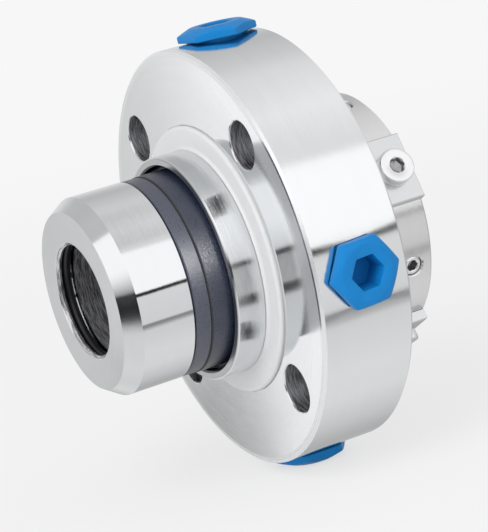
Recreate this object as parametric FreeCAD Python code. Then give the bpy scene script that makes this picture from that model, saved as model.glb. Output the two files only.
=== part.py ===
"""Cartridge mechanical seal for a 33 mm pump shaft, built as the loose pieces it comes apart into.

The seal's axis is Y. The origin lies on that axis, on the mounting face of the gland plate. The pump side, with
the nose of the rotating head, is towards -Y, and the drive collar is towards +Y. +X points to the side with one
port and +Z at the top port. Angles are polar angles about the axis, from +X towards +Z. All sizes are in millimetres.

The gland plate and what is fixed in it stand still. The sleeve, the rotary seal face and the drive collar turn
with the shaft. The stationary seal face slides against small springs. Setting clips hold the collar to the gland.
"""

import math
import os

import FreeCAD
import Part

Vector = FreeCAD.Vector
AXIS = Vector(0, 1, 0)

# Shaft sleeve, with the rotating head turned on its pump end
SHAFT_RADIUS = 16.5
SLEEVE_WALL = 3.0
SLEEVE_END_CHAMFER = 0.8
HEAD_LENGTH = 20.9
NOSE_CHAMFER_LENGTH = 4.8
NOSE_CHAMFER_DEPTH = 3.1
HEAD_RIM_CHAMFER = 0.3
HEAD_RIM_WALL = 2.6
HEAD_RECESS_DEPTH = 9.0
BORE_MOUTH_CHAMFER = 0.9

# O-ring between sleeve and shaft, just inside the nose
NOSE_GROOVE_SETBACK = 1.5
NOSE_GROOVE_WIDTH = 4.2
NOSE_GROOVE_DEPTH = 3.0
SLEEVE_ORING_CORD = 2.7

# Seal faces. They meet in the plane that stands out from the mounting face by FACE_STANDOUT
FACE_STANDOUT = 16.9
FACE_EDGE_CHAMFER = 0.35
ROTARY_FLANGE_DROP = 0.1
ROTARY_FLANGE_LENGTH = 4.9
ROTARY_RIM_GAP = 0.4
ROTARY_TAIL_WALL = 3.5
ROTARY_TAIL_LENGTH = 6.6
ROTARY_BORE_CLEARANCE = 0.4
ROTARY_SEAT_GAP = 3.4
STATIONARY_RADIUS_STEP = 0.2
STATIONARY_FLANGE_LENGTH = 18.9
STATIONARY_TAIL_WALL = 4.5
STATIONARY_TAIL_LENGTH = 11.0
STATIONARY_BORE_CLEARANCE = 2.0
ORING_CLEARANCE = 0.1

# Drive pins in the head and anti-rotation pins in the gland, two of each
PIN_COUNT = 2
PIN_RADIUS = 1.4
PIN_SLOT_CLEARANCE = 0.2
ROTARY_PIN_ENGAGEMENT = 2.4
ROTARY_PIN_SEAT_DEPTH = 3.0
GLAND_PIN_ENGAGEMENT = 4.5
GLAND_PIN_SEAT_DEPTH = 5.0
GLAND_PIN_ANGLE = 45.0

# Thrust plate and coil springs behind the stationary face
THRUST_PLATE_THICKNESS = 2.0
FACE_TRAVEL = 1.5
SPRING_COUNT = 8
SPRING_FIRST_ANGLE = 22.5
SPRING_COIL_RADIUS = 1.5
SPRING_WIRE_WIDTH = 0.6
SPRING_TURNS = 4
SPRING_BENDS_PER_TURN = 8
SPRING_POCKET_DEPTH = 7.0
SPRING_POCKET_CLEARANCE = 0.25
SPRING_END_CLEARANCE = 0.05

# Gland plate
GLAND_RADIUS = 62.5
GLAND_THICKNESS = 28.5
GLAND_EDGE_CHAMFER = 0.7
NECK_BORE_CLEARANCE = 1.4
NECK_LENGTH = 10.8
NECK_WALL = 2.6
NECK_EDGE_CHAMFER = 0.5
NECK_UNDERCUT_DEPTH = 0.5
NECK_UNDERCUT_MARGIN = 0.9
ORING_SEAT_WALL_GAP = 3.1
ORING_SEAT_LEAD = 2.5
ORING_SEAT_WIDTH = 5.0
GUIDE_CLEARANCE = 0.4
GUIDE_LENGTH = 6.5
GLAND_BORE_CLEARANCE = 1.3
BOSS_DROP = 0.4
BOSS_LENGTH = 4.5
BOSS_EDGE_CHAMFER = 0.3
CLIP_GROOVE_OFFSET = 1.2
CLIP_GROOVE_WIDTH = 2.0
CLIP_GROOVE_DEPTH = 2.3

# Throttle bush and its retaining ring in the back of the gland
BUSH_WALL = 5.7
BUSH_LENGTH = 4.9
BUSH_RUNNING_CLEARANCE = 0.25
BUSH_SEAT_CLEARANCE = 0.2
BUSH_FLOAT = 0.1
RETAINING_RING_THICKNESS = 1.2
RETAINING_RING_CLEARANCE = 0.05
RETAINING_RING_WIDTH = 2.6
RETAINING_RING_GROOVE = 1.3
RETAINING_RING_SEAT_CLEARANCE = 0.1
RETAINING_RING_GAP_ANGLE = 34.0
RING_GROOVE_LAND = 0.7
BUSH_RING_TURN = 270.0
COLLAR_RING_TURN = 90.0
RETAINING_LUG_RADIUS = 2.0
RETAINING_LUG_HOLE_RADIUS = 0.8

# Gland gasket round the root of the neck
GASKET_WIDTH = 6.7
GASKET_THICKNESS = 2.0
GASKET_RECESS_DEPTH = 0.8
GASKET_CLEARANCE = 0.15
GASKET_EDGE_CHAMFER = 0.45

# Bolt holes in the gland
BOLT_EDGE_DISTANCE = 12.5
BOLT_COUNT = 4
BOLT_FIRST_ANGLE = 45.0
BOLT_HOLE_RADIUS = 7.0
BOLT_HOLE_CHAMFER = 0.4

# Ports in the rim of the gland, closed by threaded plugs with a hexagon head
PORT_ANGLES = {"right": -2.5, "top": 90.0, "bottom": 270.0}
PORT_SETBACKS = {"right": 14.1, "top": 16.8, "bottom": 16.3}
FLUSH_PORT = "top"
PORT_DEPTH = 15.5
PORT_MOUTH_CHAMFER = 0.6
PORT_TAPER = 1.0 / 16.0
PASSAGE_RADIUS = 1.8
FLUSH_MOUTH_SETBACK = 3.4
PLUG_SHANK_RADIUS = 8.4
PLUG_SHANK_LENGTH = 12.5
PLUG_SHANK_CLEARANCE = 0.12
PLUG_SHANK_CHAMFER = 0.8
PLUG_STANDOFF = 0.3
PLUG_HEAD_SIZES = {"right": 18.6, "top": 20.5, "bottom": 20.5}
PLUG_HEAD_TURNS = {"right": 3.0, "top": -27.0, "bottom": 3.0}
PLUG_HEAD_THICKNESS = 3.6
PLUG_FACE_RADIUS = 8.0
PLUG_CROWN_SLOPE = 25.0
PLUG_SOCKET_ACROSS_FLATS = 9.0
PLUG_SOCKET_DEPTH = 8.0

# Drive collar
COLLAR_RADIUS = 37.0
COLLAR_LENGTH = 17.5
COLLAR_GAP = 1.0
COLLAR_EDGE_CHAMFER = 0.7
COLLAR_FIT_CLEARANCE = 0.05
FASTENER_SETBACK = 6.5
SLEEVE_END_OVERHANG = 3.0

# Set screws through the collar and the sleeve wall, towards the shaft
SET_SCREW_COUNT = 4
SET_SCREW_FIRST_ANGLE = 70.0
SET_SCREW_RADIUS = 2.95
SET_SCREW_HOLE_CLEARANCE = 0.1
SET_SCREW_HEAD_DEPTH = 0.5
SET_SCREW_SHAFT_GAP = 0.5
SET_SCREW_SOCKET_ACROSS_FLATS = 3.0
SET_SCREW_SOCKET_DEPTH = 3.0
SET_SCREW_CUP_RADIUS = 1.5
SET_SCREW_CUP_DEPTH = 0.8
SET_SCREW_EDGE_CHAMFER = 0.5
SET_SCREW_MOUTH_CHAMFER = 0.4

# Setting clips and their cap screws
CLIP_COUNT = 4
CLIP_FIRST_ANGLE = 25.0
CLIP_LENGTH = 20.0
CLIP_THICKNESS = 3.0
CLIP_SEAT_DEPTH = 1.3
CLIP_SEAT_MARGIN = 0.15
CLIP_BACK_SETBACK = 0.4
CLIP_TONGUE_REACH = 1.8
CLIP_TONGUE_CLEARANCE = 0.1
CLIP_FRONT_MARGIN = 0.8
CLIP_EDGE_CHAMFER = 0.3
CLIP_SCREW_RADIUS = 2.95
CLIP_SCREW_HOLE_CLEARANCE = 0.1
CLIP_SCREW_REACH = 12.0
CLIP_SCREW_HOLE_SPARE = 1.0
CLIP_SCREW_HEAD_RADIUS = 5.25
CLIP_SCREW_HEAD_HEIGHT = 3.4
CLIP_SCREW_HEAD_CHAMFER = 0.45
CLIP_SCREW_SOCKET_ACROSS_FLATS = 4.0
CLIP_SCREW_SOCKET_DEPTH = 2.2

# How far a cutting shape starts outside the metal, and the slack allowed when two lengths are compared
OVERCUT = 1.0
SAME_LENGTH = 1e-6

# Places along the axis, worked out from the sizes above
FACE_Y = -FACE_STANDOUT
HEAD_BACK_Y = FACE_Y - ROTARY_FLANGE_LENGTH - ROTARY_RIM_GAP
NOSE_Y = HEAD_BACK_Y - HEAD_LENGTH
HEAD_RECESS_Y = HEAD_BACK_Y - HEAD_RECESS_DEPTH
STATIONARY_STEP_Y = FACE_Y + STATIONARY_FLANGE_LENGTH
STATIONARY_END_Y = STATIONARY_STEP_Y + STATIONARY_TAIL_LENGTH
THRUST_PLATE_END_Y = STATIONARY_END_Y + THRUST_PLATE_THICKNESS
SPRING_WALL_Y = THRUST_PLATE_END_Y + FACE_TRAVEL
SPRING_POCKET_END_Y = SPRING_WALL_Y + SPRING_POCKET_DEPTH
GUIDE_START_Y = SPRING_WALL_Y - GUIDE_LENGTH
ORING_SEAT_Y = GUIDE_START_Y - ORING_SEAT_WIDTH
BOSS_END_Y = GLAND_THICKNESS + BOSS_LENGTH
RING_GROOVE_END_Y = BOSS_END_Y - RING_GROOVE_LAND
RING_GROOVE_START_Y = RING_GROOVE_END_Y - RETAINING_RING_THICKNESS - 2 * RETAINING_RING_CLEARANCE
BUSH_SEAT_Y = RING_GROOVE_START_Y - BUSH_LENGTH - BUSH_FLOAT
COLLAR_START_Y = BOSS_END_Y + COLLAR_GAP
COLLAR_END_Y = COLLAR_START_Y + COLLAR_LENGTH
FASTENER_Y = COLLAR_END_Y - FASTENER_SETBACK
SLEEVE_END_Y = COLLAR_END_Y + SLEEVE_END_OVERHANG

# Radii worked out from the sizes above
SLEEVE_RADIUS = SHAFT_RADIUS + SLEEVE_WALL
ROTARY_BORE_RADIUS = SLEEVE_RADIUS + ROTARY_BORE_CLEARANCE
ROTARY_TAIL_RADIUS = ROTARY_BORE_RADIUS + ROTARY_TAIL_WALL
HEAD_RECESS_RADIUS = ROTARY_TAIL_RADIUS + ROTARY_SEAT_GAP
HEAD_RADIUS = HEAD_RECESS_RADIUS + HEAD_RIM_WALL
FACE_RADIUS = HEAD_RADIUS - ROTARY_FLANGE_DROP
STATIONARY_RADIUS = FACE_RADIUS + STATIONARY_RADIUS_STEP
STATIONARY_BORE_RADIUS = SLEEVE_RADIUS + STATIONARY_BORE_CLEARANCE
STATIONARY_TAIL_RADIUS = STATIONARY_BORE_RADIUS + STATIONARY_TAIL_WALL
SPRING_CIRCLE_RADIUS = (STATIONARY_BORE_RADIUS + STATIONARY_TAIL_RADIUS) / 2.0
NECK_BORE_RADIUS = STATIONARY_RADIUS + NECK_BORE_CLEARANCE
NECK_RADIUS = NECK_BORE_RADIUS + NECK_WALL
ORING_SEAT_RADIUS = STATIONARY_TAIL_RADIUS + ORING_SEAT_WALL_GAP
GUIDE_RADIUS = STATIONARY_TAIL_RADIUS + GUIDE_CLEARANCE
GLAND_BORE_RADIUS = SLEEVE_RADIUS + GLAND_BORE_CLEARANCE
BUSH_BORE_RADIUS = SLEEVE_RADIUS + BUSH_RUNNING_CLEARANCE
BUSH_RADIUS = BUSH_BORE_RADIUS + BUSH_WALL
BUSH_SEAT_RADIUS = BUSH_RADIUS + BUSH_SEAT_CLEARANCE
GASKET_BORE_RADIUS = NECK_RADIUS + GASKET_CLEARANCE
GASKET_RADIUS = GASKET_BORE_RADIUS + GASKET_WIDTH
BOLT_CIRCLE_RADIUS = GLAND_RADIUS - BOLT_EDGE_DISTANCE
COLLAR_BORE_RADIUS = SLEEVE_RADIUS + COLLAR_FIT_CLEARANCE
CLIP_SEAT_RADIUS = COLLAR_RADIUS - CLIP_SEAT_DEPTH
CLIP_TOP_RADIUS = CLIP_SEAT_RADIUS + CLIP_THICKNESS
BOSS_RADIUS = CLIP_SEAT_RADIUS - BOSS_DROP


def spoke(angle):
    """The unit vector that points out from the axis at a polar angle in degrees."""
    turn = math.radians(angle)
    return Vector(math.cos(turn), 0, math.sin(turn))


def across(angle):
    """The unit vector along the rim at a polar angle, square to the spoke and to the axis."""
    turn = math.radians(angle)
    return Vector(-math.sin(turn), 0, math.cos(turn))


def at(radius, y, angle=0.0):
    """The point at a radius, a place along the axis and a polar angle."""
    return spoke(angle) * radius + AXIS * y


def evenly(count, first):
    """The polar angles of a number of features spaced evenly round the axis."""
    return [first + index * 360.0 / count for index in range(count)]


def lathe(profile):
    """A solid turned about the axis from the corners of its section, each a radius and a place along the axis."""
    corners = [Vector(radius, y, 0) for radius, y in profile]
    section = Part.Face(Part.makePolygon(corners + corners[:1]))
    return section.revolve(Vector(0, 0, 0), AXIS, 360)


def rod(radius, start, direction, length):
    """A round bar from a point along a direction."""
    return Part.makeCylinder(radius, length, start, direction)


def taper(radius_start, radius_end, start, direction, length):
    """A cone or countersink from a point along a direction."""
    return Part.makeCone(radius_start, radius_end, length, start, direction)


def hexagon(across_flats, start, direction, length, corner_towards):
    """A hexagonal bar whose first corner points along corner_towards."""
    side = direction.cross(corner_towards)
    reach = across_flats / 2.0 / math.cos(math.radians(30))
    corners = []
    for index in range(6):
        turn = math.radians(60 * index)
        corners.append(start + corner_towards * (reach * math.cos(turn)) + side * (reach * math.sin(turn)))
    return Part.Face(Part.makePolygon(corners + corners[:1])).extrude(direction * length)


def block(centre, length, width, angle, radius_low, radius_high):
    """A flat-faced block: length along the rim, width along the axis, between two distances from the axis."""
    along = across(angle)
    start = spoke(angle) * radius_low + AXIS * centre - along * (length / 2.0) - AXIS * (width / 2.0)
    base = [start, start + along * length, start + along * length + AXIS * width, start + AXIS * width]
    return Part.Face(Part.makePolygon(base + base[:1])).extrude(spoke(angle) * (radius_high - radius_low))


def cord_ring(centre_radius, cord, y):
    """An O-ring about the axis."""
    return Part.makeTorus(centre_radius, cord / 2.0, Vector(0, y, 0), AXIS)


def retaining_ring(inner_radius, outer_radius, y, gap_angle, lugs_inside):
    """An open snap ring with two drilled lugs beside its gap."""
    ring = lathe([
        (inner_radius, y),
        (outer_radius, y),
        (outer_radius, y + RETAINING_RING_THICKNESS),
        (inner_radius, y + RETAINING_RING_THICKNESS),
    ])
    half_gap = RETAINING_RING_GAP_ANGLE / 2.0
    reach = outer_radius * 2
    edges = [Vector(0, y - OVERCUT, 0)]
    edges += [at(reach, y - OVERCUT, gap_angle + turn) for turn in (-half_gap, 0, half_gap)]
    wedge = Part.Face(Part.makePolygon(edges + edges[:1])).extrude(AXIS * (RETAINING_RING_THICKNESS + 2 * OVERCUT))
    ring = ring.cut(wedge)
    lug_radius = inner_radius if lugs_inside else outer_radius
    shift = -RETAINING_LUG_RADIUS if lugs_inside else RETAINING_LUG_RADIUS
    lug_turn = half_gap + math.degrees(RETAINING_LUG_RADIUS / lug_radius)
    for turn in (-lug_turn, lug_turn):
        centre = at(lug_radius + shift / 2.0, y, gap_angle + turn)
        ring = ring.fuse(rod(RETAINING_LUG_RADIUS, centre, AXIS, RETAINING_RING_THICKNESS))
        ring = ring.cut(rod(RETAINING_LUG_HOLE_RADIUS, centre - AXIS * OVERCUT, AXIS,
                            RETAINING_RING_THICKNESS + 2 * OVERCUT))
    return ring.removeSplitter()


def plug_top_radius():
    """The distance from the axis to the outer face of a plug's head."""
    return GLAND_RADIUS + PLUG_STANDOFF + PLUG_HEAD_THICKNESS


def shank_radius_at(distance):
    """The radius of a plug's tapered shank at a distance from the seal's axis."""
    return PLUG_SHANK_RADIUS - (GLAND_RADIUS - distance) * PORT_TAPER / 2.0


def on_port_axis(name, radius):
    """The point on a port's axis at a distance from the seal's axis."""
    return at(radius, PORT_SETBACKS[name], PORT_ANGLES[name])


def port_cut(name):
    """The tapered threaded hole of a port, with its countersunk mouth."""
    top = GLAND_RADIUS + OVERCUT
    bottom = GLAND_RADIUS - PORT_DEPTH
    outward = spoke(PORT_ANGLES[name])
    wide = shank_radius_at(top) + PLUG_SHANK_CLEARANCE
    narrow = shank_radius_at(bottom) + PLUG_SHANK_CLEARANCE
    hole = taper(narrow, wide, on_port_axis(name, bottom), outward, top - bottom)
    rim_drop = GLAND_RADIUS - math.sqrt(GLAND_RADIUS ** 2 - PLUG_SHANK_RADIUS ** 2)
    mouth_radius = shank_radius_at(GLAND_RADIUS) + PLUG_SHANK_CLEARANCE + PORT_MOUTH_CHAMFER
    mouth_start = GLAND_RADIUS - rim_drop - PORT_MOUTH_CHAMFER
    cone_end = mouth_radius + top - mouth_start - PORT_MOUTH_CHAMFER
    mouth = taper(mouth_radius - PORT_MOUTH_CHAMFER, cone_end, on_port_axis(name, mouth_start), outward,
                  top - mouth_start)
    return hole.fuse(mouth)


def passage_cut(name):
    """The drilled way from a port into the seal: to the faces for the flush, else to the space behind them."""
    start = on_port_axis(name, GLAND_RADIUS - PORT_DEPTH + OVERCUT)
    if name == FLUSH_PORT:
        end = at(NECK_BORE_RADIUS - OVERCUT, ORING_SEAT_Y - FLUSH_MOUTH_SETBACK, PORT_ANGLES[name])
    else:
        end = on_port_axis(name, GUIDE_RADIUS - OVERCUT)
    way = end - start
    length = way.Length
    return rod(PASSAGE_RADIUS, start, way.normalize(), length)


def gland_plate():
    """The thick round plate that bolts to the pump, with its neck, ports, seats and rear boss."""
    recess_radius = GASKET_RADIUS + GASKET_CLEARANCE
    root_radius = NECK_RADIUS - NECK_UNDERCUT_DEPTH
    root_end_y = GASKET_RECESS_DEPTH - GASKET_THICKNESS - NECK_UNDERCUT_MARGIN
    groove_y = GLAND_THICKNESS + CLIP_GROOVE_OFFSET
    groove_radius = BOSS_RADIUS - CLIP_GROOVE_DEPTH
    body = lathe([
        (NECK_BORE_RADIUS + NECK_EDGE_CHAMFER, -NECK_LENGTH),
        (NECK_RADIUS - NECK_EDGE_CHAMFER, -NECK_LENGTH),
        (NECK_RADIUS, -NECK_LENGTH + NECK_EDGE_CHAMFER),
        (NECK_RADIUS, root_end_y),
        (root_radius, root_end_y),
        (root_radius, GASKET_RECESS_DEPTH),
        (recess_radius, GASKET_RECESS_DEPTH),
        (recess_radius, 0),
        (GLAND_RADIUS - GLAND_EDGE_CHAMFER, 0),
        (GLAND_RADIUS, GLAND_EDGE_CHAMFER),
        (GLAND_RADIUS, GLAND_THICKNESS - GLAND_EDGE_CHAMFER),
        (GLAND_RADIUS - GLAND_EDGE_CHAMFER, GLAND_THICKNESS),
        (BOSS_RADIUS, GLAND_THICKNESS),
        (BOSS_RADIUS, groove_y),
        (groove_radius, groove_y),
        (groove_radius, groove_y + CLIP_GROOVE_WIDTH),
        (BOSS_RADIUS, groove_y + CLIP_GROOVE_WIDTH),
        (BOSS_RADIUS, BOSS_END_Y - BOSS_EDGE_CHAMFER),
        (BOSS_RADIUS - BOSS_EDGE_CHAMFER, BOSS_END_Y),
        (BUSH_SEAT_RADIUS, BOSS_END_Y),
        (BUSH_SEAT_RADIUS, RING_GROOVE_END_Y),
        (BUSH_SEAT_RADIUS + RETAINING_RING_GROOVE, RING_GROOVE_END_Y),
        (BUSH_SEAT_RADIUS + RETAINING_RING_GROOVE, RING_GROOVE_START_Y),
        (BUSH_SEAT_RADIUS, RING_GROOVE_START_Y),
        (BUSH_SEAT_RADIUS, BUSH_SEAT_Y),
        (GLAND_BORE_RADIUS, BUSH_SEAT_Y),
        (GLAND_BORE_RADIUS, SPRING_WALL_Y),
        (GUIDE_RADIUS, SPRING_WALL_Y),
        (GUIDE_RADIUS, GUIDE_START_Y),
        (ORING_SEAT_RADIUS, GUIDE_START_Y),
        (ORING_SEAT_RADIUS, ORING_SEAT_Y),
        (NECK_BORE_RADIUS, ORING_SEAT_Y),
        (NECK_BORE_RADIUS, -NECK_LENGTH + NECK_EDGE_CHAMFER),
    ])
    cuts = []
    for angle in evenly(BOLT_COUNT, BOLT_FIRST_ANGLE):
        wide = BOLT_HOLE_RADIUS + BOLT_HOLE_CHAMFER
        cuts.append(rod(BOLT_HOLE_RADIUS, at(BOLT_CIRCLE_RADIUS, -OVERCUT, angle), AXIS,
                        GLAND_THICKNESS + 2 * OVERCUT))
        cuts.append(taper(wide, BOLT_HOLE_RADIUS, at(BOLT_CIRCLE_RADIUS, 0, angle), AXIS, BOLT_HOLE_CHAMFER))
        cuts.append(taper(wide, BOLT_HOLE_RADIUS, at(BOLT_CIRCLE_RADIUS, GLAND_THICKNESS, angle), -AXIS,
                          BOLT_HOLE_CHAMFER))
    pocket_radius = SPRING_COIL_RADIUS + SPRING_WIRE_WIDTH / 2.0 + SPRING_POCKET_CLEARANCE
    for angle in evenly(SPRING_COUNT, SPRING_FIRST_ANGLE):
        cuts.append(rod(pocket_radius, at(SPRING_CIRCLE_RADIUS, SPRING_WALL_Y - OVERCUT, angle), AXIS,
                        SPRING_POCKET_DEPTH + OVERCUT))
    for angle in evenly(PIN_COUNT, GLAND_PIN_ANGLE):
        cuts.append(rod(PIN_RADIUS, at(SPRING_CIRCLE_RADIUS, SPRING_WALL_Y - OVERCUT, angle), AXIS,
                        GLAND_PIN_SEAT_DEPTH + OVERCUT))
    for name in PORT_ANGLES:
        cuts.append(port_cut(name))
        cuts.append(passage_cut(name))
    return body.cut(cuts)


def gland_gasket():
    """The flat ring that seals the gland to the pump, in its recess round the root of the neck."""
    front = GASKET_RECESS_DEPTH - GASKET_THICKNESS
    return lathe([
        (GASKET_BORE_RADIUS, front + GASKET_EDGE_CHAMFER),
        (GASKET_BORE_RADIUS + GASKET_EDGE_CHAMFER, front),
        (GASKET_RADIUS - GASKET_EDGE_CHAMFER, front),
        (GASKET_RADIUS, front + GASKET_EDGE_CHAMFER),
        (GASKET_RADIUS, GASKET_RECESS_DEPTH),
        (GASKET_BORE_RADIUS, GASKET_RECESS_DEPTH),
    ])


def throttle_bush():
    """The close-running bush that limits leakage along the sleeve at the back of the gland."""
    return lathe([
        (BUSH_BORE_RADIUS, BUSH_SEAT_Y),
        (BUSH_RADIUS, BUSH_SEAT_Y),
        (BUSH_RADIUS, BUSH_SEAT_Y + BUSH_LENGTH),
        (BUSH_BORE_RADIUS, BUSH_SEAT_Y + BUSH_LENGTH),
    ])


def bush_retaining_ring():
    """The snap ring that keeps the throttle bush in the gland."""
    outer = BUSH_SEAT_RADIUS + RETAINING_RING_GROOVE - RETAINING_RING_SEAT_CLEARANCE
    inner = outer - RETAINING_RING_WIDTH
    return retaining_ring(inner, outer, RING_GROOVE_START_Y + RETAINING_RING_CLEARANCE, BUSH_RING_TURN, True)


def collar_retaining_ring():
    """The snap ring on the sleeve that keeps the collar from coming off it."""
    inner = SLEEVE_RADIUS - RETAINING_RING_GROOVE + RETAINING_RING_SEAT_CLEARANCE
    outer = inner + RETAINING_RING_WIDTH
    return retaining_ring(inner, outer, COLLAR_END_Y + RETAINING_RING_CLEARANCE, COLLAR_RING_TURN, False)


def rotary_pin_circle():
    """The radius on which the drive pins stand, in the middle of the rotary face's tail."""
    return (ROTARY_BORE_RADIUS + ROTARY_TAIL_RADIUS) / 2.0


def rotary_face():
    """The seal ring that turns with the head: a lapped flange and a tail slotted for the drive pins."""
    tail_y = FACE_Y - ROTARY_FLANGE_LENGTH - ROTARY_TAIL_LENGTH
    ring = lathe([
        (ROTARY_BORE_RADIUS, FACE_Y),
        (FACE_RADIUS - FACE_EDGE_CHAMFER, FACE_Y),
        (FACE_RADIUS, FACE_Y - FACE_EDGE_CHAMFER),
        (FACE_RADIUS, FACE_Y - ROTARY_FLANGE_LENGTH + FACE_EDGE_CHAMFER),
        (FACE_RADIUS - FACE_EDGE_CHAMFER, FACE_Y - ROTARY_FLANGE_LENGTH),
        (ROTARY_TAIL_RADIUS, FACE_Y - ROTARY_FLANGE_LENGTH),
        (ROTARY_TAIL_RADIUS, tail_y),
        (ROTARY_BORE_RADIUS, tail_y),
    ])
    slot_half_width = PIN_RADIUS + PIN_SLOT_CLEARANCE
    depth = ROTARY_PIN_ENGAGEMENT + PIN_SLOT_CLEARANCE
    for angle in evenly(PIN_COUNT, 0.0):
        slot = block(tail_y + (depth - OVERCUT) / 2.0, 2 * slot_half_width, depth + OVERCUT, angle,
                     ROTARY_BORE_RADIUS - OVERCUT, ROTARY_TAIL_RADIUS + OVERCUT)
        ring = ring.cut(slot)
    return ring


def rotary_oring():
    """The O-ring that seals and cushions the rotary face in the head."""
    centre = (ROTARY_TAIL_RADIUS + HEAD_RECESS_RADIUS) / 2.0
    cord = ROTARY_SEAT_GAP - 2 * ORING_CLEARANCE
    return cord_ring(centre, cord, HEAD_BACK_Y - HEAD_RECESS_DEPTH / 2.0)


def rotary_drive_pins():
    """The pins in the floor of the head's recess that turn the rotary face."""
    tail_y = FACE_Y - ROTARY_FLANGE_LENGTH - ROTARY_TAIL_LENGTH
    start = HEAD_RECESS_Y - ROTARY_PIN_SEAT_DEPTH
    length = tail_y + ROTARY_PIN_ENGAGEMENT - start
    return Part.makeCompound([
        rod(PIN_RADIUS, at(rotary_pin_circle(), start, angle), AXIS, length)
        for angle in evenly(PIN_COUNT, 0.0)
    ])


def stationary_face():
    """The seal ring that slides in the gland, slotted at the back for the anti-rotation pins."""
    ring = lathe([
        (STATIONARY_BORE_RADIUS, FACE_Y),
        (STATIONARY_RADIUS - FACE_EDGE_CHAMFER, FACE_Y),
        (STATIONARY_RADIUS, FACE_Y + FACE_EDGE_CHAMFER),
        (STATIONARY_RADIUS, STATIONARY_STEP_Y),
        (STATIONARY_TAIL_RADIUS, STATIONARY_STEP_Y),
        (STATIONARY_TAIL_RADIUS, STATIONARY_END_Y),
        (STATIONARY_BORE_RADIUS, STATIONARY_END_Y),
    ])
    slot_half_width = PIN_RADIUS + PIN_SLOT_CLEARANCE
    depth = GLAND_PIN_ENGAGEMENT + FACE_TRAVEL + PIN_SLOT_CLEARANCE
    for angle in evenly(PIN_COUNT, GLAND_PIN_ANGLE):
        slot = block(STATIONARY_END_Y - (depth - OVERCUT) / 2.0, 2 * slot_half_width, depth + OVERCUT, angle,
                     STATIONARY_BORE_RADIUS - OVERCUT, STATIONARY_TAIL_RADIUS + OVERCUT)
        ring = ring.cut(slot)
    return ring


def stationary_oring():
    """The O-ring that seals the sliding face in the gland."""
    centre = (STATIONARY_TAIL_RADIUS + ORING_SEAT_RADIUS) / 2.0
    cord = ORING_SEAT_WALL_GAP - 2 * ORING_CLEARANCE
    return cord_ring(centre, cord, ORING_SEAT_Y + ORING_SEAT_LEAD)


def thrust_plate():
    """The flat ring that spreads the springs' push over the back of the stationary face."""
    plate = lathe([
        (STATIONARY_BORE_RADIUS, STATIONARY_END_Y),
        (STATIONARY_TAIL_RADIUS, STATIONARY_END_Y),
        (STATIONARY_TAIL_RADIUS, THRUST_PLATE_END_Y),
        (STATIONARY_BORE_RADIUS, THRUST_PLATE_END_Y),
    ])
    for angle in evenly(PIN_COUNT, GLAND_PIN_ANGLE):
        hole = rod(PIN_RADIUS + PIN_SLOT_CLEARANCE, at(SPRING_CIRCLE_RADIUS, STATIONARY_END_Y - OVERCUT, angle),
                   AXIS, THRUST_PLATE_THICKNESS + 2 * OVERCUT)
        plate = plate.cut(hole)
    return plate


def anti_rotation_pins():
    """The pins pressed into the gland that stop the stationary face from turning."""
    start = STATIONARY_END_Y - GLAND_PIN_ENGAGEMENT
    length = SPRING_WALL_Y + GLAND_PIN_SEAT_DEPTH - start
    return Part.makeCompound([
        rod(PIN_RADIUS, at(SPRING_CIRCLE_RADIUS, start, angle), AXIS, length)
        for angle in evenly(PIN_COUNT, GLAND_PIN_ANGLE)
    ])


def coil_climb(turn, height):
    """How far the spring's wire has climbed after a number of turns. Its first and last turn are closed up."""
    closed_turn = SPRING_WIRE_WIDTH + SPRING_END_CLEARANCE
    if turn <= 1:
        return closed_turn * turn
    if turn >= SPRING_TURNS - 1:
        return height - closed_turn * (SPRING_TURNS - turn)
    return closed_turn + (height - 2 * closed_turn) * (turn - 1) / (SPRING_TURNS - 2)


def coil_spring():
    """One coil spring of square wire about the axis, between the thrust plate and the bottom of its pocket."""
    half = SPRING_WIRE_WIDTH / 2.0
    start = THRUST_PLATE_END_Y + SPRING_END_CLEARANCE + half
    height = SPRING_POCKET_END_Y - SPRING_END_CLEARANCE - half - start
    sections = []
    for bend in range(SPRING_TURNS * SPRING_BENDS_PER_TURN + 1):
        turn = bend / SPRING_BENDS_PER_TURN
        y = start + coil_climb(turn, height)
        corners = [
            at(SPRING_COIL_RADIUS + outwards * half, y + upwards * half, 360.0 * turn)
            for outwards, upwards in ((1, 1), (-1, 1), (-1, -1), (1, -1))
        ]
        sections.append(Part.makePolygon(corners + corners[:1]))
    return Part.makeLoft(sections, True, True)


def springs():
    """The ring of springs that closes the seal faces."""
    coils = []
    for angle in evenly(SPRING_COUNT, SPRING_FIRST_ANGLE):
        coil = coil_spring()
        coil.translate(spoke(angle) * SPRING_CIRCLE_RADIUS)
        coils.append(coil)
    return Part.makeCompound(coils)


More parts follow.
